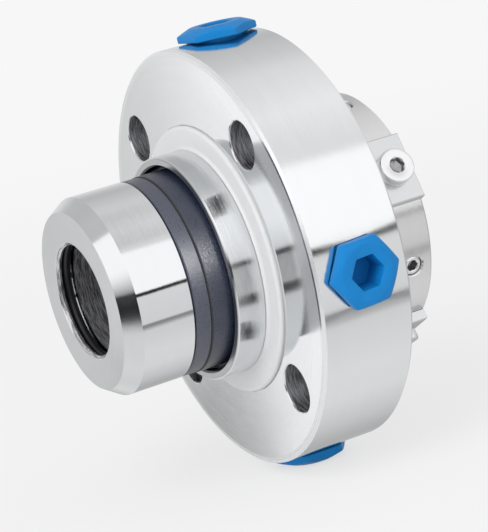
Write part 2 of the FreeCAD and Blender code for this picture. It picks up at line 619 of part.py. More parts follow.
def shaft_sleeve():
    """The sleeve that slips on the shaft, with the chamfered head at its pump end."""
    groove_start = NOSE_Y + NOSE_GROOVE_SETBACK
    groove_end = groove_start + NOSE_GROOVE_WIDTH
    groove_radius = SHAFT_RADIUS + NOSE_GROOVE_DEPTH
    ring_start = COLLAR_END_Y
    ring_end = COLLAR_END_Y + RETAINING_RING_THICKNESS + 2 * RETAINING_RING_CLEARANCE
    ring_radius = SLEEVE_RADIUS - RETAINING_RING_GROOVE
    body = lathe([
        (SHAFT_RADIUS + BORE_MOUTH_CHAMFER, NOSE_Y),
        (HEAD_RADIUS - NOSE_CHAMFER_DEPTH, NOSE_Y),
        (HEAD_RADIUS, NOSE_Y + NOSE_CHAMFER_LENGTH),
        (HEAD_RADIUS, HEAD_BACK_Y - HEAD_RIM_CHAMFER),
        (HEAD_RADIUS - HEAD_RIM_CHAMFER, HEAD_BACK_Y),
        (HEAD_RECESS_RADIUS, HEAD_BACK_Y),
        (HEAD_RECESS_RADIUS, HEAD_RECESS_Y),
        (SLEEVE_RADIUS, HEAD_RECESS_Y),
        (SLEEVE_RADIUS, ring_start),
        (ring_radius, ring_start),
        (ring_radius, ring_end),
        (SLEEVE_RADIUS, ring_end),
        (SLEEVE_RADIUS, SLEEVE_END_Y - SLEEVE_END_CHAMFER),
        (SLEEVE_RADIUS - SLEEVE_END_CHAMFER, SLEEVE_END_Y),
        (SHAFT_RADIUS + SLEEVE_END_CHAMFER, SLEEVE_END_Y),
        (SHAFT_RADIUS, SLEEVE_END_Y - SLEEVE_END_CHAMFER),
        (SHAFT_RADIUS, groove_end),
        (groove_radius, groove_end),
        (groove_radius, groove_start),
        (SHAFT_RADIUS, groove_start),
        (SHAFT_RADIUS, NOSE_Y + BORE_MOUTH_CHAMFER),
    ])
    cuts = []
    for angle in evenly(SET_SCREW_COUNT, SET_SCREW_FIRST_ANGLE):
        cuts.append(rod(SET_SCREW_RADIUS + SET_SCREW_HOLE_CLEARANCE, at(SHAFT_RADIUS - OVERCUT, FASTENER_Y, angle),
                        spoke(angle), SLEEVE_WALL + 2 * OVERCUT))
    for angle in evenly(PIN_COUNT, 0.0):
        cuts.append(rod(PIN_RADIUS, at(rotary_pin_circle(), HEAD_RECESS_Y - ROTARY_PIN_SEAT_DEPTH, angle), AXIS,
                        ROTARY_PIN_SEAT_DEPTH + OVERCUT))
    return body.cut(cuts)


def sleeve_oring():
    """The O-ring between sleeve and shaft, at the size it has once the shaft is in."""
    centre = SHAFT_RADIUS + ORING_CLEARANCE + SLEEVE_ORING_CORD / 2.0
    return cord_ring(centre, SLEEVE_ORING_CORD, NOSE_Y + NOSE_GROOVE_SETBACK + NOSE_GROOVE_WIDTH / 2.0)


def drive_collar():
    """The heavy ring that clamps the sleeve to the shaft, with flats for the clips and holes for the screws."""
    chamfer = COLLAR_EDGE_CHAMFER
    ring = lathe([
        (COLLAR_BORE_RADIUS, COLLAR_START_Y),
        (COLLAR_RADIUS - chamfer, COLLAR_START_Y),
        (COLLAR_RADIUS, COLLAR_START_Y + chamfer),
        (COLLAR_RADIUS, COLLAR_END_Y - chamfer),
        (COLLAR_RADIUS - chamfer, COLLAR_END_Y),
        (COLLAR_BORE_RADIUS, COLLAR_END_Y),
    ])
    cuts = []
    for angle in evenly(SET_SCREW_COUNT, SET_SCREW_FIRST_ANGLE):
        hole_radius = SET_SCREW_RADIUS + SET_SCREW_HOLE_CLEARANCE
        cuts.append(rod(hole_radius, at(SHAFT_RADIUS, FASTENER_Y, angle), spoke(angle), COLLAR_RADIUS))
        mouth_start = COLLAR_RADIUS - SET_SCREW_MOUTH_CHAMFER
        cuts.append(taper(hole_radius, hole_radius + 2 * SET_SCREW_MOUTH_CHAMFER,
                          at(mouth_start, FASTENER_Y, angle), spoke(angle), 2 * SET_SCREW_MOUTH_CHAMFER))
    seat_width = COLLAR_LENGTH + 2 * OVERCUT
    hole_bottom = CLIP_TOP_RADIUS - CLIP_SCREW_REACH - CLIP_SCREW_HOLE_SPARE
    for angle in evenly(CLIP_COUNT, CLIP_FIRST_ANGLE):
        cuts.append(block((COLLAR_START_Y + COLLAR_END_Y) / 2.0, CLIP_LENGTH + 2 * CLIP_SEAT_MARGIN, seat_width,
                          angle, CLIP_SEAT_RADIUS, COLLAR_RADIUS + OVERCUT))
        cuts.append(rod(CLIP_SCREW_RADIUS + CLIP_SCREW_HOLE_CLEARANCE,
                        at(hole_bottom, FASTENER_Y, angle), spoke(angle), COLLAR_RADIUS - hole_bottom))
    return ring.cut(cuts)


def set_screw(angle):
    """One cup-point set screw with a hexagon socket."""
    outward = spoke(angle)
    tip = SHAFT_RADIUS + SET_SCREW_SHAFT_GAP
    top = COLLAR_RADIUS - SET_SCREW_HEAD_DEPTH
    chamfer = SET_SCREW_EDGE_CHAMFER
    small = SET_SCREW_RADIUS - chamfer
    screw = rod(SET_SCREW_RADIUS, at(tip + chamfer, FASTENER_Y, angle), outward, top - tip - 2 * chamfer)
    screw = screw.fuse(taper(small, SET_SCREW_RADIUS, at(tip, FASTENER_Y, angle), outward, chamfer))
    screw = screw.fuse(taper(SET_SCREW_RADIUS, small, at(top - chamfer, FASTENER_Y, angle), outward, chamfer))
    cup = taper(SET_SCREW_CUP_RADIUS, 0, at(tip, FASTENER_Y, angle), outward, SET_SCREW_CUP_DEPTH)
    socket = hexagon(SET_SCREW_SOCKET_ACROSS_FLATS, at(top - SET_SCREW_SOCKET_DEPTH, FASTENER_Y, angle), outward,
                     SET_SCREW_SOCKET_DEPTH + OVERCUT, AXIS)
    return screw.cut([cup, socket]).removeSplitter()


def drive_set_screws():
    """The set screws that grip the shaft."""
    return Part.makeCompound([set_screw(angle) for angle in evenly(SET_SCREW_COUNT, SET_SCREW_FIRST_ANGLE)])


def setting_clip(angle):
    """A flat clip on the collar, whose tongue sits in the groove of the gland's boss."""
    front = GLAND_THICKNESS + CLIP_FRONT_MARGIN
    back = COLLAR_END_Y - CLIP_BACK_SETBACK
    plate = block((front + back) / 2.0, CLIP_LENGTH, back - front, angle, CLIP_SEAT_RADIUS, CLIP_TOP_RADIUS)
    top_edges = [edge for edge in plate.Edges if is_at_distance(edge, angle, CLIP_TOP_RADIUS)]
    plate = plate.makeChamfer(CLIP_EDGE_CHAMFER, top_edges)
    groove_y = GLAND_THICKNESS + CLIP_GROOVE_OFFSET
    tongue_low = BOSS_RADIUS - CLIP_TONGUE_REACH
    tongue = block(groove_y + CLIP_GROOVE_WIDTH / 2.0, CLIP_LENGTH, CLIP_GROOVE_WIDTH - 2 * CLIP_TONGUE_CLEARANCE,
                   angle, tongue_low, CLIP_SEAT_RADIUS + CLIP_THICKNESS / 2.0)
    hole = rod(CLIP_SCREW_RADIUS + CLIP_SCREW_HOLE_CLEARANCE, at(CLIP_SEAT_RADIUS - OVERCUT, FASTENER_Y, angle),
               spoke(angle), CLIP_THICKNESS + 2 * OVERCUT)
    return plate.fuse(tongue).cut(hole).removeSplitter()


def is_at_distance(edge, angle, distance):
    """True for an edge whose ends both lie at a distance from the axis along a spoke."""
    outward = spoke(angle)
    return all(abs(vertex.Point.dot(outward) - distance) < SAME_LENGTH for vertex in edge.Vertexes)


def clip_screw(angle):
    """The low-head cap screw that holds a clip, with a hexagon socket."""
    outward = spoke(angle)
    tip = CLIP_TOP_RADIUS - CLIP_SCREW_REACH
    chamfer = SET_SCREW_EDGE_CHAMFER
    head_chamfer = CLIP_SCREW_HEAD_CHAMFER
    head_top = CLIP_TOP_RADIUS + CLIP_SCREW_HEAD_HEIGHT
    shank = rod(CLIP_SCREW_RADIUS, at(tip + chamfer, FASTENER_Y, angle), outward, CLIP_SCREW_REACH - chamfer)
    point = taper(CLIP_SCREW_RADIUS - chamfer, CLIP_SCREW_RADIUS, at(tip, FASTENER_Y, angle), outward, chamfer)
    head = rod(CLIP_SCREW_HEAD_RADIUS, at(CLIP_TOP_RADIUS, FASTENER_Y, angle), outward,
               CLIP_SCREW_HEAD_HEIGHT - head_chamfer)
    crown = taper(CLIP_SCREW_HEAD_RADIUS, CLIP_SCREW_HEAD_RADIUS - head_chamfer,
                  at(head_top - head_chamfer, FASTENER_Y, angle), outward, head_chamfer)
    socket = hexagon(CLIP_SCREW_SOCKET_ACROSS_FLATS, at(head_top - CLIP_SCREW_SOCKET_DEPTH, FASTENER_Y, angle),
                     outward, CLIP_SCREW_SOCKET_DEPTH + OVERCUT, AXIS)
    return shank.fuse([point, head, crown]).cut(socket).removeSplitter()


def port_plug(name):
    """A threaded port plug: a tapered shank and a hexagon head with a hexagon socket."""
    angle = PORT_ANGLES[name]
    outward = spoke(angle)
    tip = GLAND_RADIUS - PLUG_SHANK_LENGTH
    underside = GLAND_RADIUS + PLUG_STANDOFF
    top = plug_top_radius()
    chamfer = PLUG_SHANK_CHAMFER
    neck = tip + chamfer
    shank = taper(shank_radius_at(neck), shank_radius_at(underside), on_port_axis(name, neck), outward,
                  underside - neck)
    point = taper(shank_radius_at(neck) - chamfer, shank_radius_at(neck), on_port_axis(name, tip), outward, chamfer)
    turn = math.radians(PLUG_HEAD_TURNS[name])
    corner = AXIS * math.cos(turn) + across(angle) * math.sin(turn)
    head = hexagon(PLUG_HEAD_SIZES[name], on_port_axis(name, underside), outward, PLUG_HEAD_THICKNESS, corner)
    rim = PLUG_FACE_RADIUS + PLUG_HEAD_THICKNESS / math.tan(math.radians(PLUG_CROWN_SLOPE))
    head = head.common(taper(rim, PLUG_FACE_RADIUS, on_port_axis(name, underside), outward, PLUG_HEAD_THICKNESS))
    socket = hexagon(PLUG_SOCKET_ACROSS_FLATS, on_port_axis(name, top - PLUG_SOCKET_DEPTH), outward,
                     PLUG_SOCKET_DEPTH + OVERCUT, corner)
    return shank.fuse([point, head]).cut(socket).removeSplitter()


def main():
    """Builds every piece and writes it to its own file."""
    pieces = {
        "gland_plate": gland_plate(),
        "gland_gasket": gland_gasket(),
        "throttle_bush": throttle_bush(),
        "bush_retaining_ring": bush_retaining_ring(),
        "anti_rotation_pins": anti_rotation_pins(),
        "stationary_oring": stationary_oring(),
        "face_springs": springs(),
        "stationary_face": stationary_face(),
        "thrust_plate": thrust_plate(),
        "shaft_sleeve": shaft_sleeve(),
        "sleeve_oring": sleeve_oring(),
        "rotary_face": rotary_face(),
        "rotary_oring": rotary_oring(),
        "rotary_drive_pins": rotary_drive_pins(),
        "drive_collar": drive_collar(),
        "drive_set_screws": drive_set_screws(),
        "collar_retaining_ring": collar_retaining_ring(),
    }
    for number, angle in enumerate(evenly(CLIP_COUNT, CLIP_FIRST_ANGLE), start=1):
        pieces[f"setting_clip_{number}"] = setting_clip(angle)
        pieces[f"clip_screw_{number}"] = clip_screw(angle)
    for name in PORT_ANGLES:
        pieces[f"port_plug_{name}"] = port_plug(name)

    os.makedirs("parts", exist_ok=True)
    for name, shape in pieces.items():
        shape.exportStep(f"parts/{name}.step")
        low, high = shape.BoundBox.YMin, shape.BoundBox.YMax
        print(f"{name}: {len(shape.Solids)} solid(s), valid {shape.isValid()}, {shape.Volume:.0f} mm3, "
              f"Y {low:.2f} to {high:.2f}")


main()
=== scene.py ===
"""Finishes, small pieces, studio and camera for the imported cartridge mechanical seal.

The seal's axis is Y, with its nose towards -Y. Objects are in metres, as the frame is. Sizes and finishes are
worked out in millimetres, and directions round the axis in degrees, from +X towards +Z.
"""

import math

import bmesh
import bpy
from mathutils import Matrix, Vector


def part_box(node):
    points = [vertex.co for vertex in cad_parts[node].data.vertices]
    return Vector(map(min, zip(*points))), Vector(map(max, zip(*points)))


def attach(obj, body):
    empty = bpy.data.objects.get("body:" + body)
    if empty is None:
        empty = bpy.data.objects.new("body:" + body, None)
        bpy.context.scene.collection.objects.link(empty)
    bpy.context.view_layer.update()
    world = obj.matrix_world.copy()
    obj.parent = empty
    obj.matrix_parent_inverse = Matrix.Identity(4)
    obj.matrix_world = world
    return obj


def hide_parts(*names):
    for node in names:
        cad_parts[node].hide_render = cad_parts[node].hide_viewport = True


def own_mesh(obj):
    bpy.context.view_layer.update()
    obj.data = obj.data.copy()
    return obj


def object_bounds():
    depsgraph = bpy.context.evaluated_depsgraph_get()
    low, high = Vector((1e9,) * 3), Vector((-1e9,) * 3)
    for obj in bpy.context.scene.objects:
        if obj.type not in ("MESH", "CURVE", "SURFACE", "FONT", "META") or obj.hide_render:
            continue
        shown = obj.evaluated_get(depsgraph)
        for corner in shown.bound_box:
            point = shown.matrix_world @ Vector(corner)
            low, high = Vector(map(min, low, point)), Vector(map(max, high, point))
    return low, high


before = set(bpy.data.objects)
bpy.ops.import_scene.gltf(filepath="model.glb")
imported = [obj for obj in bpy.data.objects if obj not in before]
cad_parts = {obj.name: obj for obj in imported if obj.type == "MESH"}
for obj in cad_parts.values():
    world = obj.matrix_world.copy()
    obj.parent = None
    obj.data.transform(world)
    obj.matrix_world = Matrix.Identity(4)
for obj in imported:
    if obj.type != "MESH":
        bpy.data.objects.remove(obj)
CAD_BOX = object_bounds()

MM = 0.001
METRE_IN_MM = 1000.0
AXIS = Vector((0.0, 1.0, 0.0))
QUARTER = math.pi / 2.0

# Half a hexagon's size across its flats, as a share of its corner radius
FLAT_TO_CORNER = math.cos(math.radians(30.0))

# The angle past which an edge is shaded sharp
SHARP_ANGLE = math.radians(38.0)

# The photograph's camera: 2400 pixels of focal length on a side of 532
CAMERA_PLACE = (0.6301, -0.2764, 0.1274)
CAMERA_RIGHT = (0.4399, 0.8707, -0.2198)
CAMERA_UP = (-0.0742, 0.2792, 0.9574)
CAMERA_SENSOR = 36.0
CAMERA_LENS = 2400.0 / 532.0 * CAMERA_SENSOR
CAMERA_NEAR = 0.01
CAMERA_FAR = 20.0

# Turned parts: bolt holes, bore, neck, rim, and the chamfer of the nose
HOLE_CENTRE = 50.0 * math.cos(math.radians(45.0))
HOLE_RADIUS = 7.0
BORE_RADIUS = 16.5
NECK_RADIUS = 33.5
NECK_FRONT = -10.8
RIM_RADIUS = 62.5
NOSE_RADIUS = 26.2
CHAMFER_END = -38.2

# Port plugs: polar angle, place along the axis, size of the head across its flats, and the head's turn
PLUGS = {
    "right": (-2.5, 14.1, 18.6, 3.0),
    "top": (90.0, 16.8, 20.5, -27.0),
    "bottom": (270.0, 16.3, 20.5, 3.0),
}
PLUG_UNDERSIDE = 62.8
PLUG_TOP = 66.4
PLUG_TIP = 50.0
PLUG_FACE_RADIUS = 8.0
PLUG_CROWN_SLOPE = math.radians(25.0)
PLUG_SHANK_RADIUS = 8.4
PLUG_TAPER = 1.0 / 32.0
PLUG_SOCKET = (9.0, 8.0)
PLUG_PITCH = 1.41
PLUG_THREAD_DEPTH = 0.7
PLUG_CORE_DEPTH = 0.72

# Cap screws of the clips and set screws of the collar. A socket is its size across the flats and its depth.
FASTENER_Y = 45.0
CLIP_ANGLES = (25.0, 115.0, 205.0, 295.0)
SET_SCREW_ANGLES = (70.0, 160.0, 250.0, 340.0)
SCREW_RADIUS = 2.95
SCREW_CORE = 2.42
SCREW_PITCH = 1.0
CAP_SEAT = 38.7
CAP_TOP = 42.1
CAP_RADIUS = 5.25
CAP_TIP = 26.7
CAP_SOCKET = (4.0, 2.2)
SET_TOP = 36.5
SET_TIP = 17.0
SET_SOCKET = (3.0, 3.0)

# The gasket's cross-section: radius and place along the axis
GASKET_SECTION = (
    (33.55, 0.75), (39.9, 0.78), (40.3, 0.6), (40.35, 0.2), (40.35, -0.3), (40.27, -0.62), (40.08, -0.88),
    (39.8, -1.07), (39.4, -1.17), (38.9, -1.2), (35.4, -1.2), (34.7, -1.22), (34.3, -1.3), (34.05, -1.48),
    (33.88, -1.68), (33.72, -1.84), (33.5, -1.92), (33.25, -1.9), (33.06, -1.75), (33.06, -0.4), (33.06, 0.4),
)

# Springs of the stationary ring: where their fixed ends stand, where the first one is, and their sizes
SPRING_SEAT = 23.4
SPRING_TURN = math.radians(-22.5)
SPRING_SIZES = {
    "Springs": 8.0, "Ring Radius": 23.75, "Turns": 7.0, "Coil Radius": 1.5, "Wire Radius": 0.3, "Length": 8.3,
}

# Colours of places that differ from the rest of their piece. The drilled walls' two colours carry their marks
# and painted light and shade; the other three are painted shade on the neck's front face, in screw sockets
# and at the seal rings' ends.
DRILLED_DARK = (0.03, 0.03, 0.04)
DRILLED_LIGHT = (0.84, 0.84, 0.87)
NECK_FRONT_SHADE = (0.50, 0.51, 0.52)
SOCKET_SHADE = (0.40, 0.40, 0.41)
RING_EDGE_SHADE = (0.004, 0.005, 0.008)

# How much smoother the gland's flat face is than its rim
FACE_POLISH = 0.5

# The studio's walls behind the gland and ahead of it: degrees round the axis, and level
WALLS_BEHIND = (
    (-180, 0.78), (-165, 0.52), (-142, 0.46), (-130, 0.53), (-115, 0.66), (-92, 0.82), (-72, 0.84),
    (-46, 0.76), (-20, 0.80), (0, 0.83), (50, 0.86), (77, 1.00), (108, 0.84), (121, 0.70), (134, 0.63),
    (146, 0.56), (156, 0.62), (168, 0.72), (180, 0.78),
)
WALLS_AHEAD = (
    (-180, 0.90), (-142, 0.86), (-121, 0.76), (-98, 0.82), (-60, 0.78), (-46, 0.76), (0, 0.82), (50, 0.86),
    (77, 0.76), (88, 0.61), (107, 0.62), (125, 0.58), (150, 0.59), (168, 0.80), (180, 0.90),
)

# The dark flag that the chamfer of the nose shows: degrees round the axis, and how dark it is
FLAG = (
    (-50, 0.0), (-42, 0.25), (-37, 0.60), (-32, 0.86), (-24, 0.96), (-14, 0.98), (-2, 0.93), (3, 0.68),
    (8, 0.52), (16, 0.31), (25, 0.11), (34, 0.0),
)
FLAG_SPAN = 120.0

# The bright window: its level, and its lower edge as a direction along the axis and degrees round it
WINDOW_LEVEL = 1.17
WINDOW_FOOT = ((-0.40, 2.2), (0.32, 1.8), (0.372, 0.2), (0.436, 1.8))
WINDOW_FOOT_LOW = -10.2
WINDOW_FOOT_SPAN = 20.0

# Floor and backdrop: level, half the floor's size in metres, and its fade's start and end in millimetres
PALE = 0.93
FLOOR_REACH = 4.0
FLOOR_FADE = (180.0, 900.0)

# Lamps: place, size, power, and the nodes that they light where that isn't all
SEAL_RINGS = ("rotary_face", "stationary_face")
LAMPS = {
    "key_lamp": ((0.75, -0.75, 0.95), 0.7, 6.0, ()),
    "fill_lamp": ((0.35, -1.0, 0.15), 0.6, 3.4, ()),
    "ring_lamp": ((0.86, 0.40, 0.28), 0.5, 4.5, SEAL_RINGS),
    "ring_lamp_ahead": ((0.90, -0.42, 0.10), 0.9, 4.5, SEAL_RINGS),
}


class Reading:
    """A number that a socket gives. Python's operators add the Math nodes that work on it."""

    def __init__(self, owner, socket):
        self.owner = owner
        self.socket = socket

    def __add__(self, other):
        return self.owner.maths("ADD", self, other)

    def __sub__(self, other):
        return self.owner.maths("SUBTRACT", self, other)

    def __rsub__(self, other):
        return self.owner.maths("SUBTRACT", other, self)

    def __mul__(self, other):
        return self.owner.maths("MULTIPLY", self, other)

    def __truediv__(self, other):
        return self.owner.maths("DIVIDE", self, other)

    def __abs__(self):
        return self.owner.maths("ABSOLUTE", self)

    __radd__ = __add__
    __rmul__ = __mul__


class Nodes:
    """A node tree, with short ways to add to it."""

    def __init__(self, tree):
        self.tree = tree
        tree.nodes.clear()

    def node(self, kind, settings=(), inputs=()):
        """A new node: its settings first, then the values or links of its sockets."""
        made = self.tree.nodes.new(kind)
        for key, value in dict(settings).items():
            if key == "stops":
                self.set_stops(made.color_ramp, value)
            else:
                setattr(made, key, value)
        for key, value in dict(inputs).items():
            if isinstance(value, Reading):
                value = value.socket
            if isinstance(value, bpy.types.NodeSocket):
                self.tree.links.new(value, made.inputs[key])
            else:
                made.inputs[key].default_value = value
        return made

    @staticmethod
    def set_stops(ramp, stops):
        """Gives a colour ramp its stops, each a place and a grey level."""
        while len(ramp.elements) < len(stops):
            ramp.elements.new(1.0)
        for element, (place, grey) in zip(ramp.elements, stops):
            element.position = place
            element.color = (grey, grey, grey, 1.0)

    def maths(self, operation, *values):
        """The number that a Math node gives."""
        made = self.node("ShaderNodeMath", {"operation": operation}, dict(enumerate(values)))
        return Reading(self, made.outputs[0])

    def parts(self, vector):
        """The three numbers of a vector."""
        made = self.node("ShaderNodeSeparateXYZ", inputs={0: vector})
        return [Reading(self, made.outputs[index]) for index in range(3)]

    def point(self, x, y, z):
        """A vector from three numbers."""
        return self.node("ShaderNodeCombineXYZ", inputs={0: x, 1: y, 2: z}).outputs[0]


class Shape(Nodes):
    """The Geometry Nodes of a piece that follows a rule, with a named input for each of its sizes."""

    def __init__(self, name, sizes):
        super().__init__(bpy.data.node_groups.new(name, "GeometryNodeTree"))
        for label in sizes:
            self.tree.interface.new_socket(label, in_out="INPUT", socket_type="NodeSocketFloat")
        self.tree.interface.new_socket("Material", in_out="INPUT", socket_type="NodeSocketMaterial")
        self.tree.interface.new_socket("Geometry", in_out="OUTPUT", socket_type="NodeSocketGeometry")
        entry = self.node("NodeGroupInput")
        self.sizes = [Reading(self, entry.outputs[label]) for label in sizes]
        self.material = entry.outputs["Material"]

    def strip(self, length_steps, width_steps):
        """A grid to be bent into shape, and two numbers that run from 0 to 1 along it and round it.

        The second falls back to 0 at the grid's last row, so that the bent grid closes on itself."""
        grid = self.node("GeometryNodeMeshGrid", inputs={
            "Size X": 1.0, "Size Y": 1.0, "Vertices X": length_steps + 1, "Vertices Y": width_steps + 1,
        })
        x, y, _ = self.parts(self.node("GeometryNodeInputPosition").outputs[0])
        last_row = 1.0 - 0.5 / width_steps
        around = y + 0.5
        return grid.outputs["Mesh"], x + 0.5, around * self.maths("LESS_THAN", around, last_row)

    def bent(self, mesh, radius, angle, height):
        """The grid with its points moved to a radius, an angle and a height."""
        spot = self.point(radius * self.maths("COSINE", angle), radius * self.maths("SINE", angle), height)
        moved = self.node("GeometryNodeSetPosition", inputs={"Geometry": mesh, "Position": spot})
        merged = self.node("GeometryNodeMergeByDistance",
                           inputs={"Geometry": moved.outputs[0], "Distance": 0.001})
        return merged.outputs[0]

    def least(self, first, second):
        """The smaller of two numbers."""
        return self.maths("MINIMUM", first, second)

    def end(self, geometry):
        """Ends the tree: all copies made real, with the piece's material."""
        real = self.node("GeometryNodeRealizeInstances", inputs={0: geometry})
        finished = self.node("GeometryNodeSetMaterial",
                             inputs={"Geometry": real.outputs[0], "Material": self.material})
        self.node("NodeGroupOutput", inputs={"Geometry": finished.outputs[0]})

    def grown(self, sizes, material):
        """The plain mesh that the tree makes from its sizes, in millimetres."""
        carrier = bpy.data.objects.new("carrier", bpy.data.meshes.new("carrier"))
        bpy.context.scene.collection.objects.link(carrier)
        modifier = carrier.modifiers.new("shape", "NODES")
        modifier.node_group = self.tree
        for item in self.tree.interface.items_tree:
            if item.in_out == "INPUT":
                modifier[item.identifier] = material if item.name == "Material" else sizes[item.name]
        evaluated = carrier.evaluated_get(bpy.context.evaluated_depsgraph_get())
        mesh = bpy.data.meshes.new_from_object(evaluated)
        bpy.data.objects.remove(carrier)
        return mesh


def thread_ridge():
    """The tree of a screw thread: one ridge that winds up a cone and runs out at both ends."""
    shape = Shape("thread_ridge", ("Turns", "Pitch", "Start Radius", "End Radius", "Depth"))
    turns, pitch, start, end, depth = shape.sizes
    steps_per_turn, sides, sink, foot_width = 36, 4, 0.08, 0.86
    outside = (sides - 1) / sides
    mesh, along, around = shape.strip(shape.maths("ROUND", turns * steps_per_turn), sides)
    wound = along * turns
    fade = shape.least(1.0, shape.least(wound, turns - wound) * 2.0)
    crest = shape.least(1.0, shape.least(around, outside - around) * float(sides))
    radius = start + (end - start) * along + (depth + sink) * crest * fade - sink
    height = wound * pitch + (around / outside - 0.5) * pitch * foot_width * fade
    shape.end(shape.bent(mesh, radius, wound * math.tau, height))
    return shape


def spring_ring():
    """The tree of a ring of coil springs, each of round wire with its first and last turn closed up."""
    shape = Shape("spring_ring", ("Springs", "Ring Radius", "Turns", "Coil Radius", "Wire Radius", "Length"))
    springs, ring_radius, turns, coil, wire, length = shape.sizes
    steps_per_turn, sides, tip_sharpness, closed_pitch = 40, 10, 80.0, 2.1
    mesh, along, around = shape.strip(shape.maths("ROUND", turns * steps_per_turn), sides)
    wound = along * turns
    lean = around * math.tau
    tip = shape.least(1.0, shape.least(along, 1.0 - along) * tip_sharpness)
    closed = wire * closed_pitch
    first = shape.least(wound, 1.0)
    last = shape.maths("MAXIMUM", wound - turns + 1.0, 0.0)
    open_share = (wound - first - last) / (turns - 2.0)
    climb = (first + last) * closed + open_share * (length - wire * 2.0 - closed * 2.0) + wire
    radius = coil + wire * tip * shape.maths("COSINE", lean)
    height = climb + wire * tip * shape.maths("SINE", lean)
    spring = shape.bent(mesh, radius, wound * math.tau, height)
    ring = shape.node("GeometryNodeMeshCircle", inputs={"Vertices": springs, "Radius": ring_radius})
    placed = shape.node("GeometryNodeInstanceOnPoints",
                        inputs={"Points": ring.outputs[0], "Instance": spring})
    shape.end(placed.outputs[0])
    return shape


def spoke(angle):
    """The unit vector that points out from the axis at a polar angle in degrees, from +X towards +Z."""
    turn = math.radians(angle)
    return Vector((math.cos(turn), 0.0, math.sin(turn)))


def seat(angle, setback, turn=0.0):
    """The frame of a screw or plug: its third axis is a spoke, and its first is turned from the axis."""
    outward = spoke(angle)
    lean = math.radians(turn)
    first = AXIS * math.cos(lean) + spoke(angle + 90.0) * math.sin(lean)
    second = outward.cross(first)
    rows = Matrix((first, second, outward)).transposed().to_4x4()
    return Matrix.Translation(AXIS * setback) @ rows


def hexagon(size, corner):
    """The outline of a hexagon with rounded corners, by its size across the flats and its corners' radius."""
    arc_steps, side_steps = 5, 6
    reach = (size / 2.0 - corner) / FLAT_TO_CORNER
    arcs = []
    for index in range(6):
        middle = 60.0 * index
        centre = Vector((math.cos(math.radians(middle)), math.sin(math.radians(middle)))) * reach
        turns = [math.radians(middle - 30.0 + 60.0 * step / arc_steps) for step in range(arc_steps + 1)]
        arcs.append([centre + Vector((math.cos(turn), math.sin(turn))) * corner for turn in turns])
    outline = []
    for index, arc in enumerate(arcs):
        start, end = arc[-1], arcs[(index + 1) % 6][0]
        outline += arc + [start.lerp(end, step / side_steps) for step in range(1, side_steps)]
    return outline


# A round outline with as many points as a hexagon's, so that the two join up
ROUND = [spot.normalized() for spot in hexagon(10.0, 1.0)]


def flat_loop(outline, height):
    """A loop of points at one height."""
    return [Vector((spot.x, spot.y, height)) for spot in outline]


def round_loop(radius, height):
    """A round loop of points at one height."""
    return flat_loop([spot * radius for spot in ROUND], height)


def skin(loops, start, end):
    """A closed mesh through loops of points, from a point at its start to a point at its end."""
    shell = bmesh.new()
    rows = [[shell.verts.new(spot) for spot in loop] for loop in loops]
    count = len(rows[0])
    for low, high in zip(rows, rows[1:]):
        for index in range(count):
            after = (index + 1) % count
            shell.faces.new((low[index], low[after], high[after], high[index]))
    for spot, row in ((start, rows[0]), (end, rows[-1])):
        pole = shell.verts.new(spot)
        for index in range(count):
            shell.faces.new((pole, row[index], row[(index + 1) % count]))
    mesh = bpy.data.meshes.new("skin")
    shell.to_mesh(mesh)
    shell.free()
    return mesh


def piece(name, parts, material, body, replaced):
    """One piece from meshes in millimetres, each with its frame. It rides on a body and replaces a node."""
    shell = bmesh.new()
    for mesh, place in parts:
        mesh.transform(place)
        shell.from_mesh(mesh)
        bpy.data.meshes.remove(mesh)
    bmesh.ops.scale(shell, vec=(MM, MM, MM), verts=shell.verts)
    bmesh.ops.recalc_face_normals(shell, faces=shell.faces)
    for face in shell.faces:
        face.smooth = True
        face.material_index = 0
    mesh = bpy.data.meshes.new(name)
    shell.to_mesh(mesh)
    shell.free()
    mesh.set_sharp_from_angle(angle=SHARP_ANGLE)
    mesh.materials.append(material)
    made = bpy.data.objects.new(name, mesh)
    bpy.context.scene.collection.objects.link(made)
    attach(made, body)
    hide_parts(replaced)
    return made


def crown_height(spot):
    """The height of a plug's face or sloping crown at a point of its outline."""
    return PLUG_TOP - max(0.0, spot.length - PLUG_FACE_RADIUS) * math.tan(PLUG_CROWN_SLOPE)


def plug_shank_radius(height):
    """The radius over the threads of a plug at a distance from the seal's axis."""
    return PLUG_SHANK_RADIUS - (RIM_RADIUS - height) * PLUG_TAPER


def plug_socket(floor, size):
    """The loops of a plug's socket and round face: from the socket's floor over its rounded mouth."""
    mouth = ((0.03, 0.22), (0.12, 0.06), (0.28, 0.0))
    loops = [flat_loop(hexagon(size, 0.5), height) for height in (floor, floor + 0.4, PLUG_TOP - 0.5)]
    loops += [flat_loop(hexagon(size + 2.0 * out, 0.55), PLUG_TOP - drop) for out, drop in mouth]
    loops.append(round_loop(PLUG_FACE_RADIUS - 0.5, PLUG_TOP))
    loops.append(round_loop(PLUG_FACE_RADIUS - 0.12, PLUG_TOP - 0.01))
    return loops


def plug_crown(size):
    """The loops of a plug's sloping crown and of its rounded upper and lower edges."""
    corner, edge, foot = 0.9, 0.45, 0.3
    loops = []
    for inset in (1.2, 0.6):
        outline = hexagon(size - 2.0 * inset, corner)
        loops.append([Vector((spot.x, spot.y, crown_height(spot))) for spot in outline])
    drop = edge / math.cos(PLUG_CROWN_SLOPE)
    bases = [crown_height(spot) - drop for spot in hexagon(size - 2.0 * edge, corner)]
    for step in range(5):
        turn = PLUG_CROWN_SLOPE + (QUARTER - PLUG_CROWN_SLOPE) * step / 4.0
        lift = edge * math.cos(turn)
        outline = hexagon(size - 2.0 * edge * (1.0 - math.sin(turn)), corner)
        loops.append([Vector((spot.x, spot.y, base + lift)) for spot, base in zip(outline, bases)])
    for step in range(4):
        turn = QUARTER * step / 3.0
        outline = hexagon(size - 2.0 * foot * (1.0 - math.cos(turn)), corner)
        loops.append(flat_loop(outline, PLUG_UNDERSIDE + foot * (1.0 - math.sin(turn))))
    return loops


